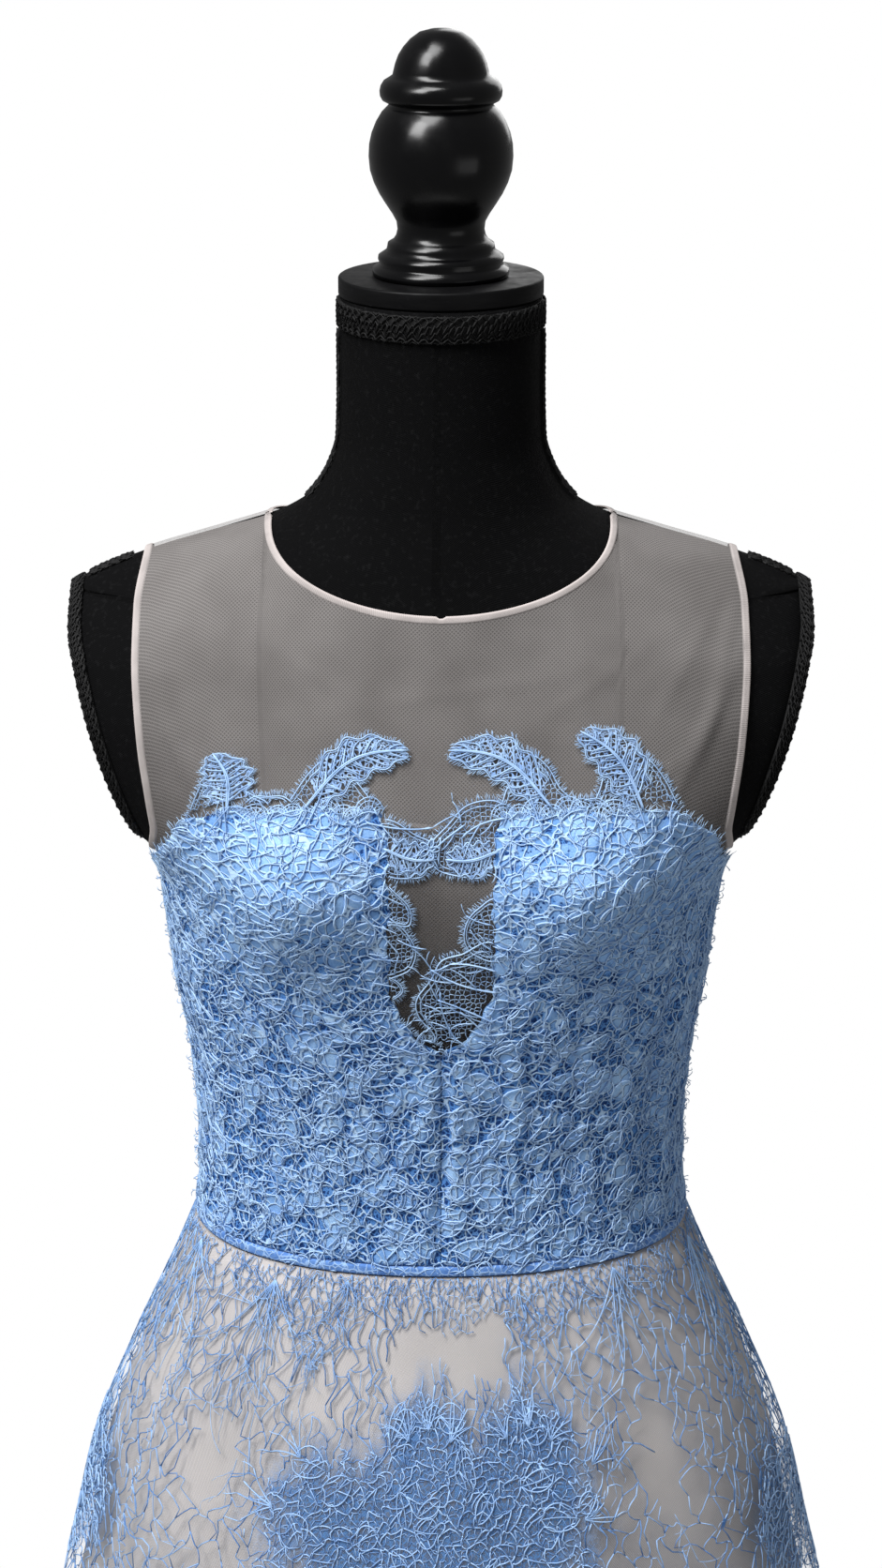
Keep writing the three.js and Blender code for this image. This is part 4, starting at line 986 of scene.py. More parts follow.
def build_bindings():
    end, slit, notch = 88.5 * DEG, 0.003, 1.6
    tapes = [  # part of the neck, neck drop, behind, start, stop, columns, depth of the notch, length
        ("front", FRONT_NECK_DROP, False, -end, end, 160, notch, 225),
        ("back_left", BACK_NECK_DROP, True, end, slit, 70, 0, 100),
        ("back_right", BACK_NECK_DROP, True, -slit, -end, 70, 0, 100),
    ]
    for part, drop, behind, start, stop, columns, depth, length in tapes:
        angle, z = neck_strip(drop, behind, start, stop, columns, depth)
        made = rounded_strip("neck_tape_" + part, angle, z, TAPE_RISE, BINDING, "binding",
                             "neck_binding_" + part, behind, free=-1)
    for side, label in ((1, "left"), (-1, "right")):
        made = rounded_strip("armhole_tape_" + label, *armhole_strip(side), TAPE_RISE, BINDING, "binding",
                             "armhole_binding_" + label, free=0)


# ---------------------------------------------------------------- the lace ground

ARC_ANGLES = np.linspace(0, math.pi, 721)
ARC_LENGTHS = np.concatenate([
    [0], np.cumsum(np.linalg.norm(np.diff(body_point(ARC_ANGLES, 1100.0), axis=0), axis=1)),
])
HALF_ROUND = float(ARC_LENGTHS[-1])


def round_of(angle):
    """Distance round the body at the underbust, which the lace is drawn on."""
    return np.sign(angle) * np.interp(np.abs(angle), ARC_ANGLES, ARC_LENGTHS)


def angle_of(u):
    return np.sign(u) * np.interp(np.abs(u), ARC_LENGTHS, ARC_ANGLES)


class Relief:
    """Heights and tones of the lace ground on a fine grid over (u, z)."""

    STEP = 0.6
    LOW, HIGH = 970, 1250

    def __init__(self):
        self.u = np.arange(-HALF_ROUND - 2, HALF_ROUND + 2, self.STEP)
        self.z = np.arange(self.LOW, self.HIGH, self.STEP)
        self.height = np.zeros((len(self.u), len(self.z)))
        self.tone = np.full(self.height.shape, 0.16)

    def window(self, u, z, reach):
        i0, i1 = np.searchsorted(self.u, (u - reach, u + reach))
        j0, j1 = np.searchsorted(self.z, (z - reach, z + reach))
        return slice(i0, i1), slice(j0, j1)

    def read(self, field, u, z):
        i = np.clip((np.asarray(u) - self.u[0]) / self.STEP, 0, len(self.u) - 1.001)
        j = np.clip((np.asarray(z) - self.z[0]) / self.STEP, 0, len(self.z) - 1.001)
        a, b = i.astype(int), j.astype(int)
        s, t = i - a, j - b
        return (field[a, b] * (1 - s) * (1 - t) + field[a + 1, b] * s * (1 - t)
                + field[a, b + 1] * (1 - s) * t + field[a + 1, b + 1] * s * t)


PETAL_RISE = 0.35  # of a petal's middle over its edge


def petal_width(along):
    """A petal's half width along it, as a share of its widest."""
    return np.sin(math.pi * np.clip(along, 0, 1) ** 0.85) ** 0.62


def scattered(rng, spacing_u, spacing_z, low, high, half=HALF_ROUND):
    """Points on a shaken grid all round the bodice or the skirt."""
    u, z = np.meshgrid(np.arange(-half, half, spacing_u), np.arange(low, high, spacing_z), indexing="ij")
    u = u + rng.uniform(-0.5, 0.5, u.shape) * spacing_u
    z = z + rng.uniform(-0.5, 0.5, z.shape) * spacing_z
    return u.ravel(), z.ravel()


def flow(u, z):
    """The direction that the lace runs in at a place, in radians: round each bust, slantwise below."""
    bend = 0.8 * np.sin(u / 31 + z / 57) + 0.7 * np.sin(z / 23 - u / 71 + 1.3)
    bend = bend + 0.5 * np.sin(u / 17 + z / 29 + 2)
    side = np.sign(u)
    du, dz = np.abs(u) - 88, z - BUST_Z
    around = np.arctan2(du, -dz) * side
    on_bust = np.exp(-(du / 52) ** 2 - (dz / 40) ** 2)
    return on_bust * around + (1 - on_bust) * bend


def scatter_petals(rng):
    u, z = scattered(rng, 15.5, 13.5, BODICE_BOTTOM_Z - 6, 1246)
    count = len(u)
    order = rng.permutation(count)
    return {
        "u": u[order], "z": z[order],
        "turn": flow(u, z)[order] + rng.uniform(-1.3, 1.3, count),
        "length": rng.uniform(10, 22, count), "half": rng.uniform(3.6, 7.4, count),
        "bow": rng.uniform(-2.5, 2.5, count), "rank": rng.uniform(0.1, 0.55, count),
        "tone": rng.uniform(0.34, 0.8, count),
    }


def petal_place(petal, along, across):
    """(u, z) of places on a petal; along runs from its root to its tip and across from edge to edge."""
    side = across * petal["half"] * petal_width(along) + petal["bow"] * np.sin(math.pi * along)
    return turned(petal["u"], petal["z"], (along - 0.5) * petal["length"], side, petal["turn"])


def paint_petals(relief, petals):
    """Lays the petals on the relief; where two overlap, the higher one shows."""
    for i in range(len(petals["u"])):
        petal = {key: values[i] for key, values in petals.items()}
        across, up = relief.window(petal["u"], petal["z"], petal["length"] * 0.55 + 4)
        u, z = relief.u[across][:, None] - petal["u"], relief.z[up][None, :] - petal["z"]
        c, s = math.cos(petal["turn"]), math.sin(petal["turn"])
        along = (u * c + z * s) / petal["length"] + 0.5
        side = z * c - u * s - petal["bow"] * np.sin(math.pi * np.clip(along, 0, 1))
        half = petal["half"] * petal_width(along)
        share = np.abs(side) / np.maximum(half, 0.01)
        inside = (along > 0) & (along < 1) & (share < 1)
        dome = petal["rank"] + PETAL_RISE * np.sqrt(np.clip(1 - share ** 2, 0, 1))
        veins = 0.06 * np.sin(2 * math.pi * (along * petal["length"] / 3.1 - share * 0.9))
        height = np.where(inside, dome + veins, 0)
        wins = inside & (height > relief.height[across, up])
        # Each petal's tone drops towards its edge: painted shade where the petal meets the ground below it.
        tone = petal["tone"] * (0.6 + 0.4 * np.clip(1 - share ** 4, 0, 1)) + 0.5 * veins
        relief.height[across, up] = np.where(wins, height, relief.height[across, up])
        relief.tone[across, up] = np.where(wins, tone, relief.tone[across, up])


def soft_folds(u, z):
    """Uneven upright folds in the bodice between the bust and the waist."""
    folds = [  # u, height, half width, top, bottom
        (0, -4.5, 2.4, 1098, 1000), (-8, 1.0, 5, 1100, 990), (10, 1.2, 6, 1095, 985),
        (-31, -0.9, 4, 1120, 1040), (38, 1.1, 6, 1130, 1020), (44, -0.9, 3, 1110, 1010),
        (-60, 0.9, 7, 1110, 1000), (71, -1.0, 4, 1120, 1020), (-96, -1.0, 5, 1140, 1030),
        (104, 1.0, 7, 1150, 1030), (122, -1.6, 4, 1140, 1010), (134, 1.2, 5, 1130, 1000),
        (-128, 1.0, 7, 1140, 1020), (-152, -1.1, 5, 1150, 1010), (160, -1.0, 5, 1150, 1010),
        (-210, 0.8, 9, 1150, 1010), (215, 0.8, 9, 1140, 1010), (-270, -0.7, 8, 1140, 1000),
        (268, -0.8, 7, 1150, 1000),
    ]
    total = np.zeros(np.broadcast(u, z).shape)
    for at, height, half, top, bottom in folds:
        reach = smooth(z, bottom - 18, bottom + 14) * (1 - smooth(z, top - 16, top + 22))
        lean = 2.5 * np.sin(z / 27 + at)
        total += height * np.exp(-((u - at - lean) / half) ** 2) * reach
    return total


def bust_felt_and_highlight(u, z):
    """Where the felt is thickest, over the top of each bust, and where the lace is painted lighter there as
    a painted highlight.
    """
    return np.exp(-((np.abs(u) - 84) / 64) ** 2 - ((z - 1194) / 52) ** 2)


def bodice_surface(relief, u, z, lift):
    """The outside of the bodice lace, raised by the petals and folds."""
    height = relief.read(relief.height, u, z)
    outside = CLOTH_LIFT + 1.1 + height + soft_folds(u, z)
    return lifted(body_point, angle_of(u), z, np.maximum(outside + lift, CLOTH_LIFT + 0.4))


def scallops(u):
    """Height of the lace's uneven top edge over its cut line; it dips at the front of each armhole."""
    waves = 2.2 * np.abs(np.sin(u / 8.3 + 0.6 * np.sin(u / 29))) + 1.2 * np.sin(u / 3.1) - 0.6
    return waves - 11 * np.exp(-((np.abs(angle_of(u)) / DEG - 65) / 7) ** 2)


def panel_edges():
    """For each bodice panel: both edges as angle over height, flat size, area and spacing of its grid."""
    seam = 0.1 * DEG

    def inner(z):
        ragged = np.sin(z / 5.0) + 0.8 * np.sin(z / 2.1 + 1) - 0.6
        return angle_at(keyhole_x(z) + 0.9 * ragged * (z > 1112), z)

    def princess(shift):
        return lambda z: angle_at(princess_x(z) + shift, z)

    def fixed(angle):
        return lambda z: np.full(np.shape(z), angle)

    return [
        ("front", inner, princess(-0.05), (0.095, 0.26), 0.016, 1.75),
        ("side", princess(0.05), fixed(90 * DEG - seam / 4), (0.16, 0.26), 0.031, 1.75),
        ("back", fixed(90 * DEG + seam / 4), fixed(180 * DEG - seam), (0.185, 0.245), 0.039, 2.3),
    ]


def bodice_panel(relief, first, second, side, spacing):
    """Grid points of one panel and the tone of its lace, with a painted highlight over each bust and painted
    shade in the troughs of the folds. Its rim turns in towards the body.
    """
    angles = (first(np.array(1060.0)), second(np.array(1060.0)))
    columns = max(int((round_of(angles[1]) - round_of(angles[0])) / spacing), 12)
    share = steps(columns).T
    top = np.full(share.shape, 1220.0)
    for _ in range(12):  # the top edge depends on the angle, and the angle on the height
        angle = first(top) * (1 - share) + second(top) * share
        top = top + 0.7 * (bodice_top_z(np.abs(angle) / DEG) - top)
    top = top + scallops(side * round_of(angle))
    rows = int((1228 - BODICE_BOTTOM_Z) / spacing)
    z = BODICE_BOTTOM_Z + (top - BODICE_BOTTOM_Z) * steps(rows)
    angle = first(z) * (1 - share) + second(z) * share
    u = side * round_of(angle)
    points, _ = bodice_surface(relief, u, z, 0.0 * z)
    # Over each bust the lace is felted and painted lighter: a painted highlight.
    felt_and_highlight = 0.8 * bust_felt_and_highlight(u, z)
    # Painted shade: the tone drops in the troughs of the soft folds and rises a little on their ridges.
    tone = relief.read(relief.tone, u, z) * (1 - felt_and_highlight) + 0.62 * felt_and_highlight + 0.06 * soft_folds(u, z)
    rim, _ = lifted(body_point, side * angle, z, np.full(z.shape, CLOTH_LIFT + 0.1))
    padded = np.pad(points, ((1, 1), (1, 1), (0, 0)), mode="edge")
    turned = np.pad(rim, ((1, 1), (1, 1), (0, 0)), mode="edge")
    for edge in (np.s_[0, :], np.s_[-1, :], np.s_[:, 0], np.s_[:, -1]):
        padded[edge] = turned[edge]
    tone = np.pad(tone, 1, mode="edge")
    return (padded, tone) if side > 0 else (padded[::-1], tone[::-1])


def build_bodice_ground(relief):
    for label, first, second, flat, area, spacing in panel_edges():
        for side, hand in ((1, "left"), (-1, "right")):
            points, tone = bodice_panel(relief, first, second, side, spacing)
            made = open_sheet(f"lace_ground_{label}_{hand}", points, LACE_GROUND, {"tone": tone})
            place(made, slot="lace_blue", replaces=[f"bodice_{label}_{hand}"])


# ---------------------------------------------------------------- the corded lace


def inside_bodice(u, z, margin=0.0):
    """Whether lace at (u, z) lies on the bodice, clear of the keyhole and of the centre back zip."""
    angle = angle_of(u)
    x = body_point(angle, z)[..., 0]
    under_top = z < bodice_top_z(np.abs(angle) / DEG) + scallops(u) + margin
    on_front = np.abs(angle) < 60 * DEG
    open_front = on_front & (z > 1108) & (np.abs(x) < keyhole_x(z) - margin)
    near_zip = np.abs(u) > HALF_ROUND - 6
    return under_top & (z > WAIST_Z - WAIST_BAND_HEIGHT / 2 + 0.6) & ~open_front & ~near_zip


def voronoi_edges(u, z):
    """The two ends of every Voronoi edge of a set of points."""
    found = geometry.delaunay_2d_cdt([Vector(place) for place in zip(u, z)], [], [], 0, 1e-6)
    corners = np.array([tuple(v) for v in found[0]])
    triangles = np.array([face for face in found[2] if len(face) == 3])
    a, b, c = (corners[triangles[:, k]] for k in range(3))
    ab, ac = b - a, c - a
    cross = 2 * (ab[:, 0] * ac[:, 1] - ab[:, 1] * ac[:, 0])
    cross = np.where(np.abs(cross) < 1e-9, 1e-9, cross)
    ab2, ac2 = (ab ** 2).sum(1), (ac ** 2).sum(1)
    centre = a + np.stack([
        (ac[:, 1] * ab2 - ab[:, 1] * ac2) / cross, (ab[:, 0] * ac2 - ac[:, 0] * ab2) / cross,
    ], -1)
    edges = np.concatenate([triangles[:, pair] for pair in ([0, 1], [1, 2], [2, 0])])
    edges = np.sort(edges, axis=1)
    owner = np.tile(np.arange(len(triangles)), 3)
    order = np.lexsort((edges[:, 1], edges[:, 0]))
    edges, owner = edges[order], owner[order]
    same = (edges[1:] == edges[:-1]).all(1)
    return centre[owner[:-1][same]], centre[owner[1:][same]]


LONGEST_NET_EDGE = 60  # a net leaves out longer edges, such as those of its outermost cells


def wander(u, z, size):
    """Bends straight lines into the loose curves of lace."""
    bent_u = u + size * (np.sin(z / 3.1 + 1.9 * np.sin(u / 11)) + 0.6 * np.sin(u / 7.3 - z / 13))
    bent_z = z + size * (np.sin(u / 3.7 + 1.6 * np.sin(z / 9)) + 0.6 * np.sin(z / 6.1 + u / 15))
    return bent_u, bent_z


def net_cords(cords, first, second, rng, radius, lift, tones, keep, bow=0.16, points=4, loose=0.0):
    """Cords along straight edges, each bowed a little to one side; tones is the range of their tone."""
    t = steps(points)
    run = second - first
    swing = rng.normal(0, bow, (len(first), 1)) * np.sin(math.pi * t)
    u = first[:, :1] + run[:, :1] * t - run[:, 1:] * swing
    z = first[:, 1:] + run[:, 1:] * t + run[:, :1] * swing
    u, z = wander(u, z, loose)
    shown = keep(u, z) & (np.hypot(run[:, :1], run[:, 1:]) < LONGEST_NET_EDGE)
    cords.add(u, z, radius, lift, rng.uniform(*tones, (len(first), 1)), shown, taper=False)


def streams(u, z, direction, step, count):
    """Points along lines that start at (u, z) and follow a direction field both ways."""
    halves = []
    for sign in (-1, 1):
        x, y = u.copy(), z.copy()
        rows = []
        for _ in range(count):
            turn = direction(x, y)
            x, y = x + sign * step * np.cos(turn), y + sign * step * np.sin(turn)
            rows.append((x, y))
        halves.append(np.array(rows))
    back, ahead = halves
    whole = np.concatenate([back[::-1], np.array([(u, z)]), ahead])
    return whole[:, 0].T, whole[:, 1].T


def visible(relief, u, z, height, slack=0.35):
    """Whether something at a height over the ground isn't under a petal."""
    return height > relief.read(relief.height, u, z) - slack


def thin_behind(rng, u, share):
    """Leaves out a share of what lies behind the side seams."""
    behind = np.abs(u) > round_of(np.array(100 * DEG))
    return ~behind | (rng.uniform(0, 1, np.shape(u)) > share)


CORD_RISE = 0.75  # of a cord's middle over the patches, so that it shades them


def petal_cords(relief, petals, rng):
    """The raised outline of every patch where no other covers it, and the veins of some."""
    cords = Cords()
    columns = {key: values[:, None] for key, values in petals.items()}
    kept = thin_behind(rng, columns["u"], 0.35)
    for edge in (-1.0, 1.0):
        u, z = petal_place(columns, steps(9), edge)
        height = columns["rank"] + 0 * u
        shown = visible(relief, u, z, height, 0.22) & inside_bodice(u, z, 1.5) & kept
        thick = rng.uniform(0.3, 0.46, kept.shape)
        rise = np.maximum(height - relief.read(relief.height, u, z), 0)
        cords.add(u, z, thick, rise + CORD_RISE, rng.uniform(0.6, 1.0, kept.shape), shown)
    veined = kept[:, 0] & (rng.uniform(0, 1, len(kept)) < 0.3)
    chosen = {key: values[veined] for key, values in columns.items()}
    count = (veined.sum(), 1)
    u, z = petal_place(chosen, steps(6, 0.04, 0.96), 0.0)
    shown = visible(relief, u, z, chosen["rank"] + PETAL_RISE + 0 * u) & inside_bodice(u, z, 1)
    cords.add(u, z, 0.3, 0.3, rng.uniform(0.6, 1.0, count), shown)
    for along in (0.2, 0.5):
        for edge in (-1.0, 1.0):
            t = steps(3)
            share = edge * t * 0.96
            u, z = petal_place(chosen, along + 0.16 * t ** 1.4, share)
            height = chosen["rank"] + PETAL_RISE * np.sqrt(1 - share ** 2)
            shown = visible(relief, u, z, height, 0.25) & inside_bodice(u, z, 0)
            cords.add(u, z, 0.22, 0.2, rng.uniform(0.5, 0.85, count), shown)
    return cords


def bodice_net(rng):
    """A coarse irregular net of raised cords over the whole bodice."""
    cords = Cords()
    first, second = voronoi_edges(*scattered(rng, 9.0, 8.0, BODICE_BOTTOM_Z - 12, 1250))
    some = (rng.uniform(0, 1, len(first)) > 0.16) & thin_behind(rng, first[:, 0], 0.35)
    net_cords(cords, first[some], second[some], rng, 0.4, CORD_RISE, (0.6, 1.0),
              lambda u, z: inside_bodice(u, z, 1.0), bow=0.22, points=5, loose=1.3)
    return cords


def sweeping_cords(rng):
    """Longer cords that cross the patches, and stars of cords between them."""
    cords = Cords()
    u, z = scattered(rng, 34, 26, BODICE_BOTTOM_Z + 2, 1236)
    some = thin_behind(rng, u, 0.5)
    reach_steps = 10
    u, z = streams(u[some], z[some], flow, 2.6, reach_steps)
    length = rng.integers(3, reach_steps, (len(u), 1))
    shown = (np.abs(np.arange(u.shape[1]) - reach_steps) <= length) & inside_bodice(u, z, 1.0)
    cords.add(*wander(u, z, 1.6), 0.4, CORD_RISE, rng.uniform(0.8, 1.0, (len(u), 1)), shown)
    for at_u, at_z in zip(*scattered(rng, 42, 36, BODICE_BOTTOM_Z + 12, 1215)):
        rays = rng.integers(4, 8)
        turns = rng.uniform(0, 2 * math.pi) + 2 * math.pi * np.arange(rays) / rays
        turns = turns + rng.uniform(-0.3, 0.3, rays)
        t = steps(6)
        reach = rng.uniform(6, 16, (rays, 1)) * t
        bend = turns[:, None] + rng.uniform(-0.5, 0.5, (rays, 1)) * t
        u, z = turned(at_u, at_z, reach, 0, bend)
        cords.add(u, z, 0.36, CORD_RISE, 0.95, inside_bodice(u, z, 1.0))
    return cords


def top_fringe(rng):
    """Lobes, loops and eyelash threads that stand up from the top edge of the lace."""
    cords = Cords()

    def edge_z(u):
        return bodice_top_z(np.abs(angle_of(u)) / DEG) + scallops(u)

    def off_keyhole(u, reach):
        return np.abs(u) > round_of(angle_at(reach, 1228.0))

    u = np.arange(-HALF_ROUND + 8, HALF_ROUND - 8, 0.8)
    u = u + rng.uniform(-0.3, 0.3, len(u))
    u = u[off_keyhole(u, 29.0) & thin_behind(rng, u, 0.5)]
    z = edge_z(u) - 1.5
    t = steps(4)
    lean = rng.normal(0, 0.45, (len(u), 1))
    reach = rng.uniform(2.2, 5.4, (len(u), 1))
    loose = 0.3 + 0.9 * t * rng.uniform(0, 1, (len(u), 1))
    cords.add(u[:, None] + reach * lean * t ** 1.5, z[:, None] + reach * t, 0.17, loose,
              rng.uniform(0.6, 1.0, (len(u), 1)))

    u = np.arange(-HALF_ROUND + 12, HALF_ROUND - 12, 7.0)
    u = u + rng.uniform(-2, 2, len(u))
    u = u[off_keyhole(u, 31.0)][:, None]
    z = edge_z(u) - 3
    arc = steps(11, 0.05) * math.pi
    width = rng.uniform(4.0, 7.5, u.shape) * (1 - 0.6 * smooth(np.abs(angle_of(u)) / DEG, 44, 54))
    height = width * 1.2
    for share in (1.0, 0.78, 0.5):
        across, up = share * width * np.cos(arc), share * height * np.sin(arc)
        cords.add(u + across, z + up, 0.36 * share, 0.4, 0.85)
    ray = steps(4, 0.1, 1.12)
    for turn in np.linspace(0.12, 0.88, 7) * math.pi:
        cords.add(u + width * ray * np.cos(turn), z + height * ray * np.sin(turn), 0.22, 0.35, 0.8)
    return cords


def side_frays(rng):
    """Loose ends and loops that stand off the lace, most of them at the sides."""
    cords = Cords()
    at_sides, anywhere = 420, 160
    angle = np.concatenate([
        rng.choice([-1, 1], at_sides) * rng.normal(86, 9, at_sides), rng.uniform(-178, 178, anywhere),
    ])
    u = round_of(angle * DEG)[:, None]
    z = rng.uniform(BODICE_BOTTOM_Z, 1214, u.shape)
    t = steps(5)
    turn = rng.uniform(0, 2 * math.pi, u.shape)
    reach = rng.uniform(2, 5, u.shape)
    bend = turn + rng.uniform(-1.5, 1.5, u.shape) * t
    lift = 0.4 + rng.uniform(0.8, 3.6, u.shape) * np.sin(t * rng.uniform(1.4, 2.8, u.shape))
    tone = rng.uniform(0.5, 1.0, u.shape)
    u, z = turned(u, z, reach * t, 0, bend)
    cords.add(u, z, 0.26, lift, tone, inside_bodice(u, z, 2.0))
    return cords


def build_bodice_lace(relief, petals):
    """The raised cords of the bodice, with a painted highlight over each bust and painted shade in the
    troughs of the folds.
    """

    def surface(u, z, lift):
        return bodice_surface(relief, u, z, lift)

    # Painted light on the cords' tone: lighter over each bust, darker in the fold troughs and a little
    # lighter on the fold ridges.
    def shade(u, z):
        return 0.14 * np.clip(soft_folds(u, z), -4, 1) + 0.3 * bust_felt_and_highlight(u, z)

    rng = np.random.default_rng(41)
    groups = {
        "lace_petal_cords": petal_cords(relief, petals, rng),
        "lace_net_cords": bodice_net(rng),
        "lace_sweeping_cords": sweeping_cords(rng),
        "lace_top_fringe": top_fringe(rng),
        "lace_side_frays": side_frays(rng),
    }
    for name, cords in groups.items():
        cords.shade(shade)
        place(cords.build(name, surface, LACE_CORD), slot="lace_blue")


# ---------------------------------------------------------------- lace leaves and sprays on the net

LEAF_LIFT = CLOTH_LIFT + MESH_THICKNESS + 0.6

# In front view: x and z of the root, x and z of the tip, sideways bow of the midrib, half width,
# and the number of veins on each side
LEAVES = {
    "lace_leaf_outer_right": (-104, 1235.5, -111, 1257, -3, 14, 5),
    "lace_leaf_inner_right": (-61, 1241, -17, 1262, 7, 11, 8),
    "lace_leaf_inner_left": (49, 1241, 5, 1262, -7, 11, 8),
    "lace_leaf_outer_left": (96, 1238.5, 69, 1269.5, -5, 12, 7),
    "lace_bridge_right": (-25, 1214, -3, 1210, -2, 9, 4),
    "lace_bridge_left": (25, 1213, 3, 1210, 2, 9, 5),
}


def front_surface(x, z, lift):
    """The front of the body over a front view, as Cords take it."""
    return lifted(body_point, angle_at(x, z), z, lift)


def leaf_place(leaf, along, across):
    """(x, z) of places on a leaf; along runs from its root to its tip and across from edge to edge."""
    root_x, root_z, tip_x, tip_z, bow, half, _ = leaf
    run_x, run_z = tip_x - root_x, tip_z - root_z
    size = math.hypot(run_x, run_z)
    body = np.sqrt(np.sin(math.pi * np.clip(0.16 + 0.82 * along, 0, 1)))
    lobes = 0.88 + 0.12 * np.cos(along * 8 * math.pi)
    side = across * half * body * lobes + bow * np.sin(math.pi * along)
    return root_x + run_x * along - run_z / size * side, root_z + run_z * along + run_x / size * side


def build_leaf(name, leaf, rng):
    """A leaf of net with its midrib, veins, loops between them, and an edge with picots."""
    root_x, root_z, tip_x, tip_z, _, half, veins = leaf
    size = math.hypot(tip_x - root_x, tip_z - root_z)
    across, along = np.meshgrid(np.linspace(1, -1, 17), np.linspace(0, 1, 33), indexing="ij")
    x, z = leaf_place(leaf, along, across)
    patch, _ = front_surface(x, z, np.full(x.shape, LEAF_LIFT + 0.2))
    net = place(open_sheet(name + "_net", patch, LEAF_NET), slot="lace_blue", replaces=[name])
    cords = Cords()
    midrib = np.linspace(-0.18, 1.03, 18)
    for share in (-0.05, 0.05):
        cords.add(*leaf_place(leaf, midrib, share * (1 - 0.6 * midrib)), 0.62, LEAF_LIFT + 1.0, 0.8)
    edge = np.linspace(-0.02, 1, 44)
    for side in (-1, 1):
        cords.add(*leaf_place(leaf, edge, side), 0.4, LEAF_LIFT + 0.7, 0.9)
        cords.add(*leaf_place(leaf, edge[2:-2], 0.9 * side), 0.24, LEAF_LIFT + 0.6, 0.75)
        start = steps(veins, 0.02, 0.84).T
        t = steps(8)
        slant = 0.16 + 0.05 * rng.uniform(-1, 1, start.shape)
        vein = leaf_place(leaf, start + slant * t ** 1.5, side * t * 0.97)
        cords.add(*vein, 0.46 - 0.16 * t, LEAF_LIFT + 0.9 - 0.2 * t, 0.85)
        for offset, reach in ((0.05, 0.8), (-0.04, 0.7), (0.08, 0.55)):
            loop = steps(8, 0, math.pi)
            out = reach * np.sin(loop / 2)
            loop_along = start + offset + slant * out ** 1.5 + 0.035 * np.sin(loop)
            cords.add(*leaf_place(leaf, loop_along, side * out), 0.26, LEAF_LIFT + 0.65, 0.8)
        picots = (int(size * 1.25), 1)
        foot = steps(picots[0]).T + rng.uniform(-0.01, 0.01, picots)
        t = steps(4)
        reach = rng.uniform(1.6, 3.2, picots)
        hair = np.stack(leaf_place(leaf, foot + 0.04 * t * rng.uniform(0.2, 1.4, picots), side), -1)
        outer, inner = (np.stack(leaf_place(leaf, foot, side * share), -1) for share in (1.3, 1))
        hair = hair + unit(outer - inner) * (reach * t)[..., None]
        cords.add(hair[..., 0], hair[..., 1], 0.16, LEAF_LIFT + 0.5, 0.85)
    made = place(cords.build(name + "_cords", front_surface, LACE_CORD), slot="lace_blue")


# Outlines of the open net round the leaves and along the keyhole, in front view
NET_LOBES = [
    [(-127, 1210), (-123, 1228), (-117, 1243), (-110, 1254), (-102, 1250), (-95, 1241), (-84, 1234),
     (-102, 1220)],
    [(-80, 1228), (-72, 1240), (-64, 1251), (-55, 1258), (-47, 1252), (-38, 1243), (-33, 1232), (-56, 1226)],
    [(-98, 1230), (-92, 1238), (-84, 1239), (-76, 1239), (-70, 1232), (-84, 1226)],
    [(30, 1228), (31, 1240), (36, 1250), (44, 1259), (52, 1254), (58, 1244), (66, 1234), (48, 1224)],
    [(74, 1228), (78, 1244), (82, 1256), (92, 1261), (102, 1255), (109, 1246), (115, 1234), (123, 1218),
     (98, 1222)],
    [(56, 1230), (62, 1237), (70, 1238), (78, 1238), (84, 1230), (70, 1226)],
    [(-38, 1228), (-25, 1229), (-13, 1222), (-5, 1217), (-8, 1203), (-17, 1201), (-27, 1203), (-33, 1212)],
    [(-5, 1217), (3, 1226), (13, 1236), (27, 1238), (34, 1230), (25, 1212), (21, 1202), (8, 1202),
     (-3, 1206)],
    [(-33, 1202), (-23, 1194), (-16, 1186), (-16, 1177), (-24, 1178), (-33, 1180)],
    [(-33, 1183), (-21, 1177), (-14, 1167), (-13, 1159), (-18, 1151), (-33, 1150)],
    [(-33, 1150), (-23, 1147), (-19, 1141), (-24, 1136), (-33, 1134)],
    [(-33, 1120), (-24, 1112), (-16, 1106), (-9, 1098), (-20, 1093), (-33, 1100)],
    [(-27, 1126), (-18, 1121), (-12, 1114), (-5, 1112), (1, 1107), (6, 1100), (-8, 1094), (-24, 1104)],
    [(28, 1190), (19, 1186), (13, 1178), (12, 1168), (17, 1161), (28, 1160)],
    [(28, 1165), (10, 1161), (0, 1157), (-5, 1147), (-12, 1136), (-11, 1126), (-3, 1114), (-8, 1100),
     (8, 1094),
     (28, 1104)],
]
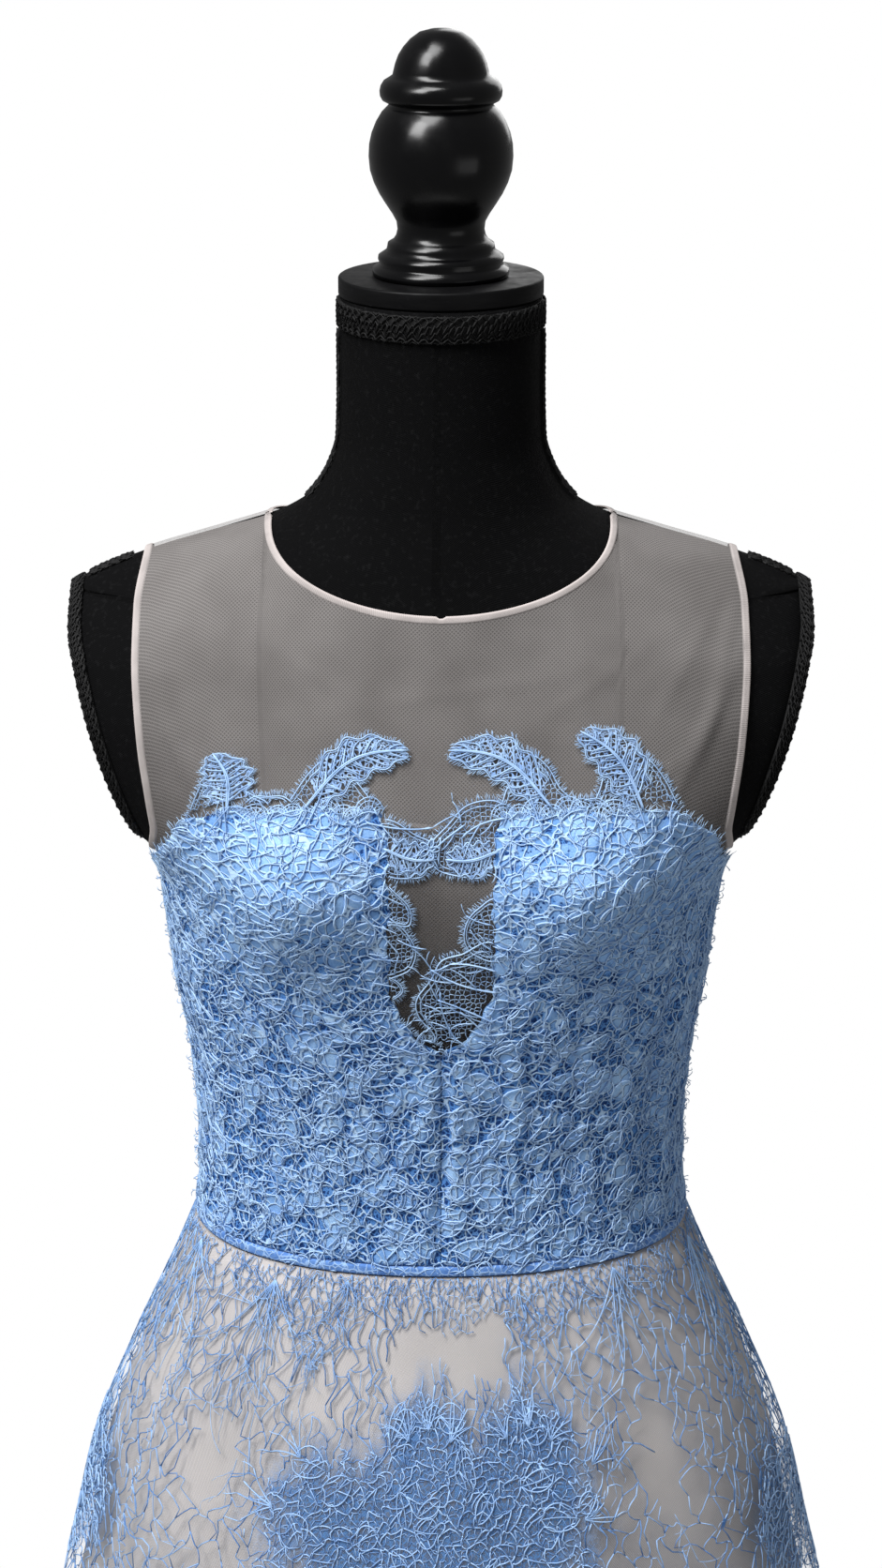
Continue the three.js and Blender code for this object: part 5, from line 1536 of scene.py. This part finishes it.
# Twigs over the net: foot, direction in degrees, length, thickness and number of forkings
TWIGS = [
    (-37, 1228, -14, 33, 0.62, 1), (-6, 1215, -115, 13, 0.6, 1), (-6, 1214, -60, 10, 0.6, 0),
    (32, 1230, 186, 24, 0.62, 1), (12, 1227, 215, 22, 0.62, 1), (10, 1227, 95, 12, 0.5, 1),
    (20, 1228, 235, 20, 0.5, 1), (0, 1221, 260, 14, 0.5, 0),
    (-40, 1185, -48, 30, 0.56, 1), (-22, 1170, -36, 16, 0.5, 0), (-34, 1196, -30, 18, 0.45, 1),
    (-34, 1160, -10, 15, 0.45, 1), (-34, 1146, -12, 13, 0.45, 0),
    (27, 1110, 128, 26, 0.6, 2), (27, 1122, 150, 32, 0.62, 2), (28, 1140, 172, 36, 0.66, 2),
    (28, 1152, 160, 24, 0.58, 2), (8, 1112, 120, 30, 0.6, 2), (26, 1164, 150, 16, 0.5, 1),
    (26, 1178, 175, 14, 0.45, 1), (-30, 1112, -25, 20, 0.5, 1),
    (-118, 1212, 58, 26, 0.56, 2), (-104, 1220, 98, 20, 0.5, 1), (-66, 1226, 60, 26, 0.5, 1),
    (50, 1224, 112, 28, 0.5, 1), (100, 1220, 104, 25, 0.56, 2), (112, 1220, 100, 15, 0.45, 1),
    (-84, 1226, 96, 12, 0.4, 0), (70, 1226, 88, 12, 0.4, 0),
    (-23, 1118, 20, 11, 0.45, 2), (-16, 1107, 50, 12, 0.5, 2), (-7, 1101, 95, 10, 0.5, 2),
    (3, 1100, 70, 11, 0.5, 2), (14, 1107, 125, 12, 0.5, 2), (24, 1122, 165, 10, 0.45, 1),
]
BRIDGE_FLOWER = (-6, 1215)  # middle of a flower of five loops on the lace bridge over the keyhole


def closed_curve(corners):
    """A smooth closed line through its corners."""
    corners = np.array(corners, float)
    t = np.linspace(0, 1, 10, endpoint=False)[None, :, None]
    a, b, c, d = (np.roll(corners, shift, axis=0)[:, None] for shift in (1, 0, -1, -2))
    path = 2 * b + (c - a) * t + (2 * a - 5 * b + 4 * c - d) * t ** 2 + (3 * b - a - 3 * c + d) * t ** 3
    return (path / 2).reshape(-1, 2)


def within(outline, x, z):
    """Whether points lie inside a closed outline."""
    (x0, z0), (x1, z1) = outline.T, np.roll(outline, -1, axis=0).T
    x, z = np.asarray(x)[..., None], np.asarray(z)[..., None]
    level = (z0 > z) != (z1 > z)
    left = x < x0 + (x1 - x0) * (z - z0) / np.where(z1 == z0, 1, z1 - z0)
    return (level & left).sum(-1) % 2 == 1


def over_bodice(x, z):
    return inside_bodice(round_of(angle_at(x, z)), z)


def over_leaf(x, z):
    """Whether points lie on one of the named leaves."""
    found = np.zeros(np.shape(x), bool)
    along = np.linspace(0, 1, 24)
    for leaf in LEAVES.values():
        up = np.stack(leaf_place(leaf, along, 1.0), -1)
        down = np.stack(leaf_place(leaf, along[::-1], -1.0), -1)
        found |= within(np.concatenate([up, down]), x, z)
    return found


def on_mesh(x, z, clear=0.0):
    """Whether points lie on the bare mesh; clear is how far above the bodice's lace they stay."""
    return ~over_bodice(x, z - clear) & ~over_leaf(x, z)


def grow(cords, rng, x, z, turn, length, thick, forks, lift):
    """A forked twig with a knob at each end."""
    count = max(int(length / 2.0), 3)
    t = np.linspace(0, 1, count + 1)
    bend = turn + rng.uniform(-0.7, 0.7) * t ** 1.5
    step = length / count
    path_x = x + np.concatenate([[0], np.cumsum(step * np.cos(bend[1:]))])
    path_z = z + np.concatenate([[0], np.cumsum(step * np.sin(bend[1:]))])
    swelling = np.where(t > 0.9, 1.25, 1 - 0.35 * t)
    cords.add(path_x, path_z, thick * swelling, lift, rng.uniform(0.6, 0.95))
    if forks == 0:
        return
    for share in np.linspace(0.3, 1, 3 if forks > 1 else 2):
        at = int(share * count)
        fork = bend[at] + rng.choice([-1, 1]) * rng.uniform(0.4, 0.95)
        shorter = length * rng.uniform(0.35, 0.55)
        grow(cords, rng, path_x[at], path_z[at], fork, shorter, thick * 0.72, forks - 1, lift)


def net_lobe(cords, corners, rng, lift):
    """A patch of fine net with a corded edge and an eyelash fringe where it leaves the bodice."""
    outline = closed_curve(corners)
    middle = outline.mean(0)
    cell, shake, border = 2.5, 0.36, 4
    low, high = outline.min(0) - border, outline.max(0) + border
    x, z = (grid.ravel() for grid in np.meshgrid(*(np.arange(low[k], high[k], cell) for k in (0, 1))))
    x = x + rng.uniform(-shake, shake, x.size) * cell
    z = z + rng.uniform(-shake, shake, z.size) * cell
    net_cords(cords, *voronoi_edges(x, z), rng, 0.2, lift, (0.55, 0.95),
              lambda x, z: within(outline, x, z) & on_mesh(x, z, 4), bow=0.05, points=2)
    for share, thick in ((1.0, 0.4), (0.86, 0.26)):
        ring = middle + share * (outline - middle)
        x, z = np.concatenate([ring, ring[:1]]).T
        cords.add(x, z, thick, lift + 0.4, 0.9, on_mesh(x, z, 3)[None])
    tangent = np.roll(outline, -1, axis=0) - np.roll(outline, 1, axis=0)
    away = unit(np.stack([tangent[:, 1], -tangent[:, 0]], -1))
    away = away * np.sign(((outline - middle) * away).sum(-1, keepdims=True))
    for _ in range(2):
        foot = outline + rng.uniform(-0.7, 0.7, outline.shape)
        reach = rng.uniform(1.4, 3.6, (len(foot), 1)) * steps(3)
        lean = rng.normal(0, 0.3, (len(foot), 1))
        x = foot[:, :1] + reach * (away[:, :1] - lean * away[:, 1:])
        z = foot[:, 1:] + reach * (away[:, 1:] + lean * away[:, :1])
        cords.add(x, z, 0.17, lift + 0.2, 0.85, on_mesh(x, z))


def build_keyhole_lace(rng):
    """The lobes of open net, the coral-like twigs on them, and the flower of loops on the bridge."""
    nets, twigs = Cords(), Cords()
    for corners in NET_LOBES:
        net_lobe(nets, corners, rng, LEAF_LIFT + 0.1)
    for x, z, turn, length, thick, forks in TWIGS:
        grow(twigs, rng, x, z, turn * DEG, length, thick, forks, LEAF_LIFT + 0.9)
    loop = np.linspace(0, 2 * math.pi, 10)
    for turn in np.arange(0, 5) * 72 * DEG:
        petal = turned(*BRIDGE_FLOWER, 2.6 * (1 - np.cos(loop)), 1.3 * np.sin(loop), turn)
        twigs.add(*petal, 0.4, LEAF_LIFT + 1.2, 0.95)
    for name, cords in (("lace_lobe_nets", nets), ("lace_lobe_twigs", twigs)):
        place(cords.build(name, front_surface, LACE_CORD), slot="lace_blue")


def build_leaves():
    for number, (name, leaf) in enumerate(LEAVES.items()):
        build_leaf(name, leaf, np.random.default_rng(100 + number))
    build_keyhole_lace(np.random.default_rng(17))


# ---------------------------------------------------------------- waist and skirt

SKIRT_U = 170  # millimetres a radian, where the skirt lace is drawn

# Dense motifs: u, z, half width, half height
CLUSTERS = [
    (-16, 850, 84, 44), (-9, 886, 34, 34), (58, 884, 34, 36), (-66, 862, 46, 28), (40, 856, 52, 44),
    (120, 770, 60, 36), (-150, 760, 60, 30), (242, 808, 42, 36), (266, 784, 36, 26), (-260, 820, 36, 36),
    (-280, 792, 34, 26), (326, 890, 34, 40), (350, 856, 38, 24), (-334, 896, 32, 36), (-356, 866, 38, 24),
    (436, 806, 44, 30), (474, 784, 42, 28), (424, 770, 28, 18), (-436, 836, 44, 30), (-474, 810, 42, 28),
    (-426, 796, 28, 18),
]
# Sprigs of the lower skirt, all round
CLUSTERS += [(-480 + 80 * k, 560 + 55 * math.sin(2.1 * k), 26 + 6 * math.cos(3 * k), 22) for k in range(13)]
# Open places without much lace
CLEARINGS = [
    (24, 948, 34, 22), (-16, 940, 26, 16), (-150, 880, 15, 24), (142, 872, 13, 28), (-96, 915, 16, 12),
    (0, 760, 60, 40), (-205, 905, 10, 22),
]


def blobs(rows, u, z, edge=0.25):
    """How far inside any of the oval rows a place is, from 0 outside to 1."""
    total = np.zeros(np.broadcast(u, z).shape)
    for at_u, at_z, half_u, half_z in rows:
        ripple = 0.16 * np.sin(u / 6.1 + at_u) * np.sin(z / 5.3 + at_z) + 0.1 * np.sin(u / 2.9 + z / 3.7)
        near = np.sqrt(((u - at_u) / half_u) ** 2 + ((z - at_z) / half_z) ** 2) + ripple
        total = np.maximum(total, 1 - smooth(near, 1 - edge, 1 + edge))
    return total


def hem_lace(z):
    """1 along the lace's hem and 0 above it."""
    return 1 - smooth(z, LACE_HEM_Z + 14, LACE_HEM_Z + 46)


def waist_veil(u, z):
    """The fine net below the waist, that reaches further down in places."""
    reach = 13 + 9 * np.sin(u / 23 + 1) + 5 * np.sin(u / 9.5)
    reach = reach + 30 * np.exp(-((u + 88) / 26) ** 2) + 26 * np.exp(-((u - 84) / 30) ** 2)
    return 1 - smooth(SKIRT_TOP_Z - z, reach * 0.6, reach * 1.5)


def density(u, z):
    return np.maximum(blobs(CLUSTERS, u, z), hem_lace(z) + 0 * u)


def skirt_surface(u, z, lift):
    return lifted(overlay_point, u / SKIRT_U, z, lift)


def build_skirt_sheets():
    """The twill lining and the tulle of each span; at the back they part at the zip."""
    side, slit = 90 * DEG, 0.002
    spans = [  # name, first and last angle, columns, width in quarters of the round
        ("front", -side, side, 180, 2.0),
        ("back_left", side, 2 * side - slit, 90, 1.0),
        ("back_right", -2 * side + slit, -side, 90, 1.0),
    ]
    for label, start, stop, count, wide in spans:
        angle = steps(count, start, stop).T
        rows = steps(30) ** 0.9
        z = LINING_HEM_Z + (SKIRT_TOP_Z - LINING_HEM_Z) * rows
        outer, _ = lifted(skirt_point, angle, z, 0.7 + 0 * angle * z)
        inner, _ = lifted(skirt_point, angle, z, 0.2 + 0 * angle * z)
        lining = sheet_wall("skirt_lining_" + label + "_twill", outer, inner, LINING)
        place(lining, slot="lining", replaces=["skirt_lining_" + label])
        z = LACE_HEM_Z + (SKIRT_TOP_Z - LACE_HEM_Z) * rows
        u = angle * SKIRT_U
        points, _ = lifted(overlay_point, angle, z, 0 * u * z)
        tulle = open_sheet("skirt_tulle_" + label, points, TULLE, {"dense": density(u, z)})
        place(tulle, slot="skirt_lace", replaces=["skirt_lace_" + label])


SKIRT_END = SKIRT_U * math.pi
FRONT_END = 300  # of the closely worked front, each way from its middle
FAN_U = 145  # of the stars that the front's lines spread from
FRAME_LOW_Z = 770  # the closely worked part of the skirt lies above
# Places that long forked cords hang from: u, z, number of cords and their length
STARS = [
    (-142, 969, 10, 62), (-220, 972, 6, 50), (-84, 974, 4, 24), (70, 972, 3, 22), (150, 974, 6, 60),
    (232, 970, 6, 64), (340, 962, 4, 60), (-340, 960, 4, 60), (470, 960, 4, 60), (-470, 958, 4, 60),
]


def skirt_keep(u, z):
    """Whether places lie on the lace of the skirt."""
    wrapped = np.abs(u) < SKIRT_END - 8
    return wrapped & (z < SKIRT_TOP_Z + 0.5) & (z > LACE_HEM_Z)


def fanned(place):
    """Spreads the lines below the two stars that most of them hang from."""
    u, z = place.T
    away = u - np.sign(u) * FAN_U
    fall = np.clip(SKIRT_TOP_Z - z, 0, 110)
    lean = away * np.exp(-((away / 110) ** 2)) * smooth(np.abs(u), 0, 45)
    return np.stack([u + lean * fall / 260, z], -1)


def root_net(rng):
    """A tall net of cords that mostly run down the skirt, with clear places in it."""
    cords = Cords()
    stretch = 2.1
    front_u, front_z = scattered(rng, 6.7, 14, FRAME_LOW_Z, SKIRT_TOP_Z + 30, FRONT_END)
    wide_u, wide_z = scattered(rng, 14, 32, LACE_HEM_Z - 20, SKIRT_TOP_Z + 30, SKIRT_END)
    wide = (wide_z < FRAME_LOW_Z) | (np.abs(wide_u) > FRONT_END)
    u, z = np.concatenate([front_u, wide_u[wide]]), np.concatenate([front_z, wide_z[wide]])
    first, second = voronoi_edges(u, z / stretch)
    first, second = (fanned(end * (1, stretch)) for end in (first, second))
    middle, run = (first + second) / 2, np.abs(second - first)
    clear = blobs(CLEARINGS, middle[:, 0], middle[:, 1])
    dense = blobs(CLUSTERS, middle[:, 0], middle[:, 1])
    level = smooth(run[:, 0] / (run[:, 1] + 0.1), 0.8, 2.0)
    some = rng.uniform(0, 1, len(first)) > (clear > 0.5) + (dense > 0.6) + 0.06 * level
    net_cords(cords, first[some], second[some], rng, rng.uniform(0.26, 0.42, (some.sum(), 1)), 0.35,
              (0.0, 0.75), skirt_keep, bow=0.22, points=4, loose=2.4)
    return cords


def hanging_cords(rng):
    """Long forked cords that hang from the stars, and loose twigs between them."""
    cords = Cords()
    for u, z, number, length in STARS:
        for turn in np.linspace(-1.0, 1.0, number):
            turn = turn * 0.75 + rng.uniform(-0.12, 0.12) - math.pi / 2
            grow(cords, rng, u, z, turn, length * rng.uniform(0.6, 1.1), 0.42, 1, 0.6)
    u, z = rng.uniform(-FRONT_END, FRONT_END, 90), rng.uniform(FRAME_LOW_Z, 955, 90)
    away = blobs(CLEARINGS, u, z) + blobs(CLUSTERS, u, z) < 0.4
    for at_u, at_z in zip(u[away], z[away]):
        turn = rng.uniform(-0.6, 0.6) - math.pi / 2
        grow(cords, rng, at_u, at_z, turn, rng.uniform(14, 34), 0.34, 2, 0.5)
    return cords


def skirt_motifs(rng):
    """Dense nets, outlined patches and pointed sprays of the motifs."""
    cords = Cords()
    close = scattered(rng, 8.6, 8.2, FRAME_LOW_Z, SKIRT_TOP_Z, SKIRT_END)
    far = scattered(rng, 12, 12, LACE_HEM_Z, FRAME_LOW_Z, SKIRT_END)
    first, second = voronoi_edges(*np.concatenate([close, far], 1))
    near = density(*((first + second) / 2).T) > 0.02
    net_cords(cords, first[near], second[near], rng, 0.42, 0.8, (0.5, 1.3),
              lambda u, z: skirt_keep(u, z) & (density(u, z) > 0.3), bow=0.24, points=4, loose=1.9)
    first, second = voronoi_edges(*scattered(rng, 4.9, 5.4, FRAME_LOW_Z, SKIRT_TOP_Z + 4, 280))
    middle = ((first + second) / 2).T
    near = (density(*middle) > 0.4) | (waist_veil(*middle) > rng.uniform(0.3, 0.6, len(first)))
    net_cords(cords, first[near], second[near], rng, 0.25, 0.35, (0.2, 1.1),
              skirt_keep, bow=0.14, points=3, loose=0.6)
    u, z = scattered(rng, 30, 26, FRAME_LOW_Z, SKIRT_TOP_Z, 300)
    inside = density(u, z) > 0.6
    count = inside.sum()
    patch = {
        "u": u[inside, None], "z": z[inside, None], "turn": rng.uniform(0, 2 * math.pi, (count, 1)),
        "length": rng.uniform(13, 24, (count, 1)), "half": rng.uniform(4, 8.5, (count, 1)),
        "bow": rng.uniform(-2, 2, (count, 1)),
    }
    for across in (-1.0, 0.0, 1.0):
        line_u, line_z = petal_place(patch, np.linspace(0, 1, 9)[None, :], across)
        thick = 0.44 if across else 0.3
        cords.add(line_u, line_z, thick, 0.9, rng.uniform(0.7, 1.1, (count, 1)), skirt_keep(line_u, line_z))
    sprays = [
        (-9, 905, 90, 24), (-22, 900, 120, 20), (6, 900, 62, 20), (61, 905, 84, 22), (74, 898, 55, 20),
        (46, 900, 118, 18), (-92, 888, 140, 22), (98, 884, 40, 20), (-104, 862, 175, 22), (88, 858, 10, 20),
    ]
    for at_u, at_z, turn, length in sprays:
        for lean in (-0.5, -0.2, 0.1, 0.45):
            grow(cords, rng, at_u, at_z, turn * DEG + lean, length * rng.uniform(0.7, 1.1), 0.55, 1, 0.9)
    return cords


def skirt_hem_fringe(rng):
    """The scalloped cord along the hem, and the short threads below it."""
    cords = Cords()
    end = SKIRT_END - 8
    u = np.arange(-end, end, 1.6)[:, None]
    t = np.linspace(0, 1, 3)[None, :]
    dip = 3.5 * np.abs(np.sin(u / 11))
    cords.add(u + t * rng.normal(0, 1, u.shape), LACE_HEM_Z + 6 - dip - t * 4.5, 0.24, 0.3, 0.7)
    u = np.arange(-end, end, 1.5)
    cords.add(u, LACE_HEM_Z + 6 - 3.5 * np.abs(np.sin(u / 11)), 0.5, 0.4, 0.8)
    return cords


def build_skirt_lace():
    rng = np.random.default_rng(77)
    groups = [
        ("skirt_root_net", root_net(rng)), ("skirt_hanging_cords", hanging_cords(rng)),
        ("skirt_motifs", skirt_motifs(rng)), ("skirt_hem_fringe", skirt_hem_fringe(rng)),
    ]
    for name, cords in groups:
        place(cords.build(name, skirt_surface, SKIRT_CORD), slot="skirt_lace")


def build_waist():
    angle = np.linspace(-179.8 * DEG, 179.8 * DEG, 260)[:, None]
    bottom = WAIST_Z - WAIST_BAND_HEIGHT / 2
    z = bottom + WAIST_BAND_HEIGHT * np.linspace(0, 1, 9)[None, :] + 0 * angle
    made = rounded_strip("waist_tape", angle + 0 * z, z, 2.2, BAND, "band_blue", "waist_band")


# ---------------------------------------------------------------- the zip


def build_zip():
    """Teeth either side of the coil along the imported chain; slider and pull keep their solids."""
    low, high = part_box("zip_chain")
    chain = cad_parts["zip_chain"]
    corners = np.array([v.co[:] for v in chain.data.vertices]) / MM
    back = corners[:, 1]
    heights = np.unique(np.round(corners[:, 2], 2))
    outside = np.array([back[np.abs(corners[:, 2] - z) < 0.02].max() for z in heights])
    z = np.arange(low.z / MM + 1, high.z / MM - 1, 1.5)[:, None]
    cords = Cords()
    path = np.arange(low.z / MM, high.z / MM, 4.0)

    def on_back(x, z, lift):
        z = np.asarray(z, float)
        y = np.interp(z, heights, outside)
        slope = np.interp(z + 1, heights, outside) - np.interp(z - 1, heights, outside)
        normal = unit(np.stack([0 * z, 2 + 0 * z, -slope], -1))
        return np.stack([x, y, z], -1) + normal * np.asarray(lift)[..., None], normal

    for at, lean in ((-1, 0.0), (1, 0.75)):
        t = steps(3, -1, 1)
        cords.add(at * 0.7 + t * 1.1, z + lean + 0 * t, 0.42, -0.1 + 0.25 * (1 - t ** 2), 0.75)
    for x in (-1.9, 1.9):
        cords.add(x + 0 * path, path, 0.3, 0.0, 0.45)
    tape = [np.stack([x + 0 * path, np.interp(path, heights, outside) - lift, path], -1)
            for x, lift in ((-2.4, 0.9), (-2.3, 0.5), (0, 0.45), (2.3, 0.5), (2.4, 0.9))]
    strip = open_sheet("zip_tape", np.stack(tape)[::-1], BAND)
    teeth = cords.build("zip_teeth", on_back, ZIP_METAL, sides=4)
    place(strip, slot="zip_metal", replaces=["zip_chain"])
    place(teeth, slot="zip_metal")
    for node in ("zip_slider", "zip_pull"):
        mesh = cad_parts[node].data
        mesh.materials.clear()
        mesh.materials.append(ZIP_METAL)


# ---------------------------------------------------------------- camera, lights and floor


def aim(made, target):
    direction = Vector(target) - made.location
    made.rotation_euler = direction.to_track_quat("-Z", "Y").to_euler()


# name, place, what it is aimed at, width and height, watts
SOFTBOXES = [
    ("key_softbox", (-1.5, -1.35, 3.45), (0, 0, 1.15), (1.0, 1.2), 92),
    ("fill_softbox", (2.4, -2.6, 0.8), (0, 0, 0.9), (2.2, 1.2), 8),
    ("front_softbox", (-0.6, -0.75, 3.75), (0, 0, 1.2), (1.0, 1.0), 56),
    ("back_softbox", (0.8, 2.4, 2.2), (0, 0, 1.0), (1.6, 1.6), 16),
]
CAMERA_PLACE = (0.0, -1.70, 1.7808)
CAMERA_DIP = 18.42  # degrees below level
FOCAL_LENGTH_PIXELS = 3681.25
PHOTO_HEIGHT_PIXELS = 1672
SENSOR_MM = 36
SKY_ON_THINGS, SKY_SEEN = 0.22, 1.0  # strength of the white world


def add_softbox(name, location, target, size, power):
    light = bpy.data.lights.new(name, "AREA")
    light.shape = "RECTANGLE"
    light.size, light.size_y = size
    light.energy = power
    made = bpy.data.objects.new(name, light)
    made.location = location
    bpy.context.scene.collection.objects.link(made)
    aim(made, target)


def build_studio():
    scene = bpy.context.scene
    camera = bpy.data.objects.new("camera", bpy.data.cameras.new("camera"))
    scene.collection.objects.link(camera)
    scene.camera = camera
    camera.location = CAMERA_PLACE
    camera.rotation_euler = (math.radians(90 - CAMERA_DIP), 0, 0)
    camera.data.sensor_width = SENSOR_MM
    camera.data.lens = SENSOR_MM * FOCAL_LENGTH_PIXELS / PHOTO_HEIGHT_PIXELS
    camera.data.clip_start, camera.data.clip_end = 0.05, 50

    for softbox in SOFTBOXES:
        add_softbox(*softbox)

    world = bpy.data.worlds.new("studio")
    scene.world = world
    world.use_nodes = True
    nodes, links = world.node_tree.nodes, world.node_tree.links
    background = nodes["Background"]
    path = nodes.new("ShaderNodeLightPath")
    strength = nodes.new("ShaderNodeMapRange")
    strength.inputs["To Min"].default_value = SKY_ON_THINGS
    strength.inputs["To Max"].default_value = SKY_SEEN
    links.new(path.outputs["Is Camera Ray"], strength.inputs["Value"])
    links.new(strength.outputs[0], background.inputs["Strength"])
    background.inputs["Color"].default_value = (1, 1, 1, 1)
    scene.view_settings.view_transform = "Standard"

    floor_finish = Finish("pale_floor", Roughness=0.7)
    cloudy = floor_finish.noise(220, 3)
    floor_finish.set(Base_Color=floor_finish.blend(cloudy, rgb(238, 238, 237), rgb(246, 246, 245)))
    floor_finish.bump(floor_finish.noise(6, 3), 0.1, 0.1)
    floor = lathe("floor", [(1, -6), (1050, -6), (1050, -0.4), (1, -0.4)], floor_finish.material)


# ---------------------------------------------------------------- the whole


def build():
    relief = Relief()
    petals = scatter_petals(np.random.default_rng(5))
    paint_petals(relief, petals)
    build_form()
    build_braids()
    build_yoke()
    build_bindings()
    build_bodice_ground(relief)
    build_bodice_lace(relief, petals)
    build_leaves()
    build_waist()
    build_skirt_sheets()
    build_skirt_lace()
    build_zip()
    build_studio()


build()
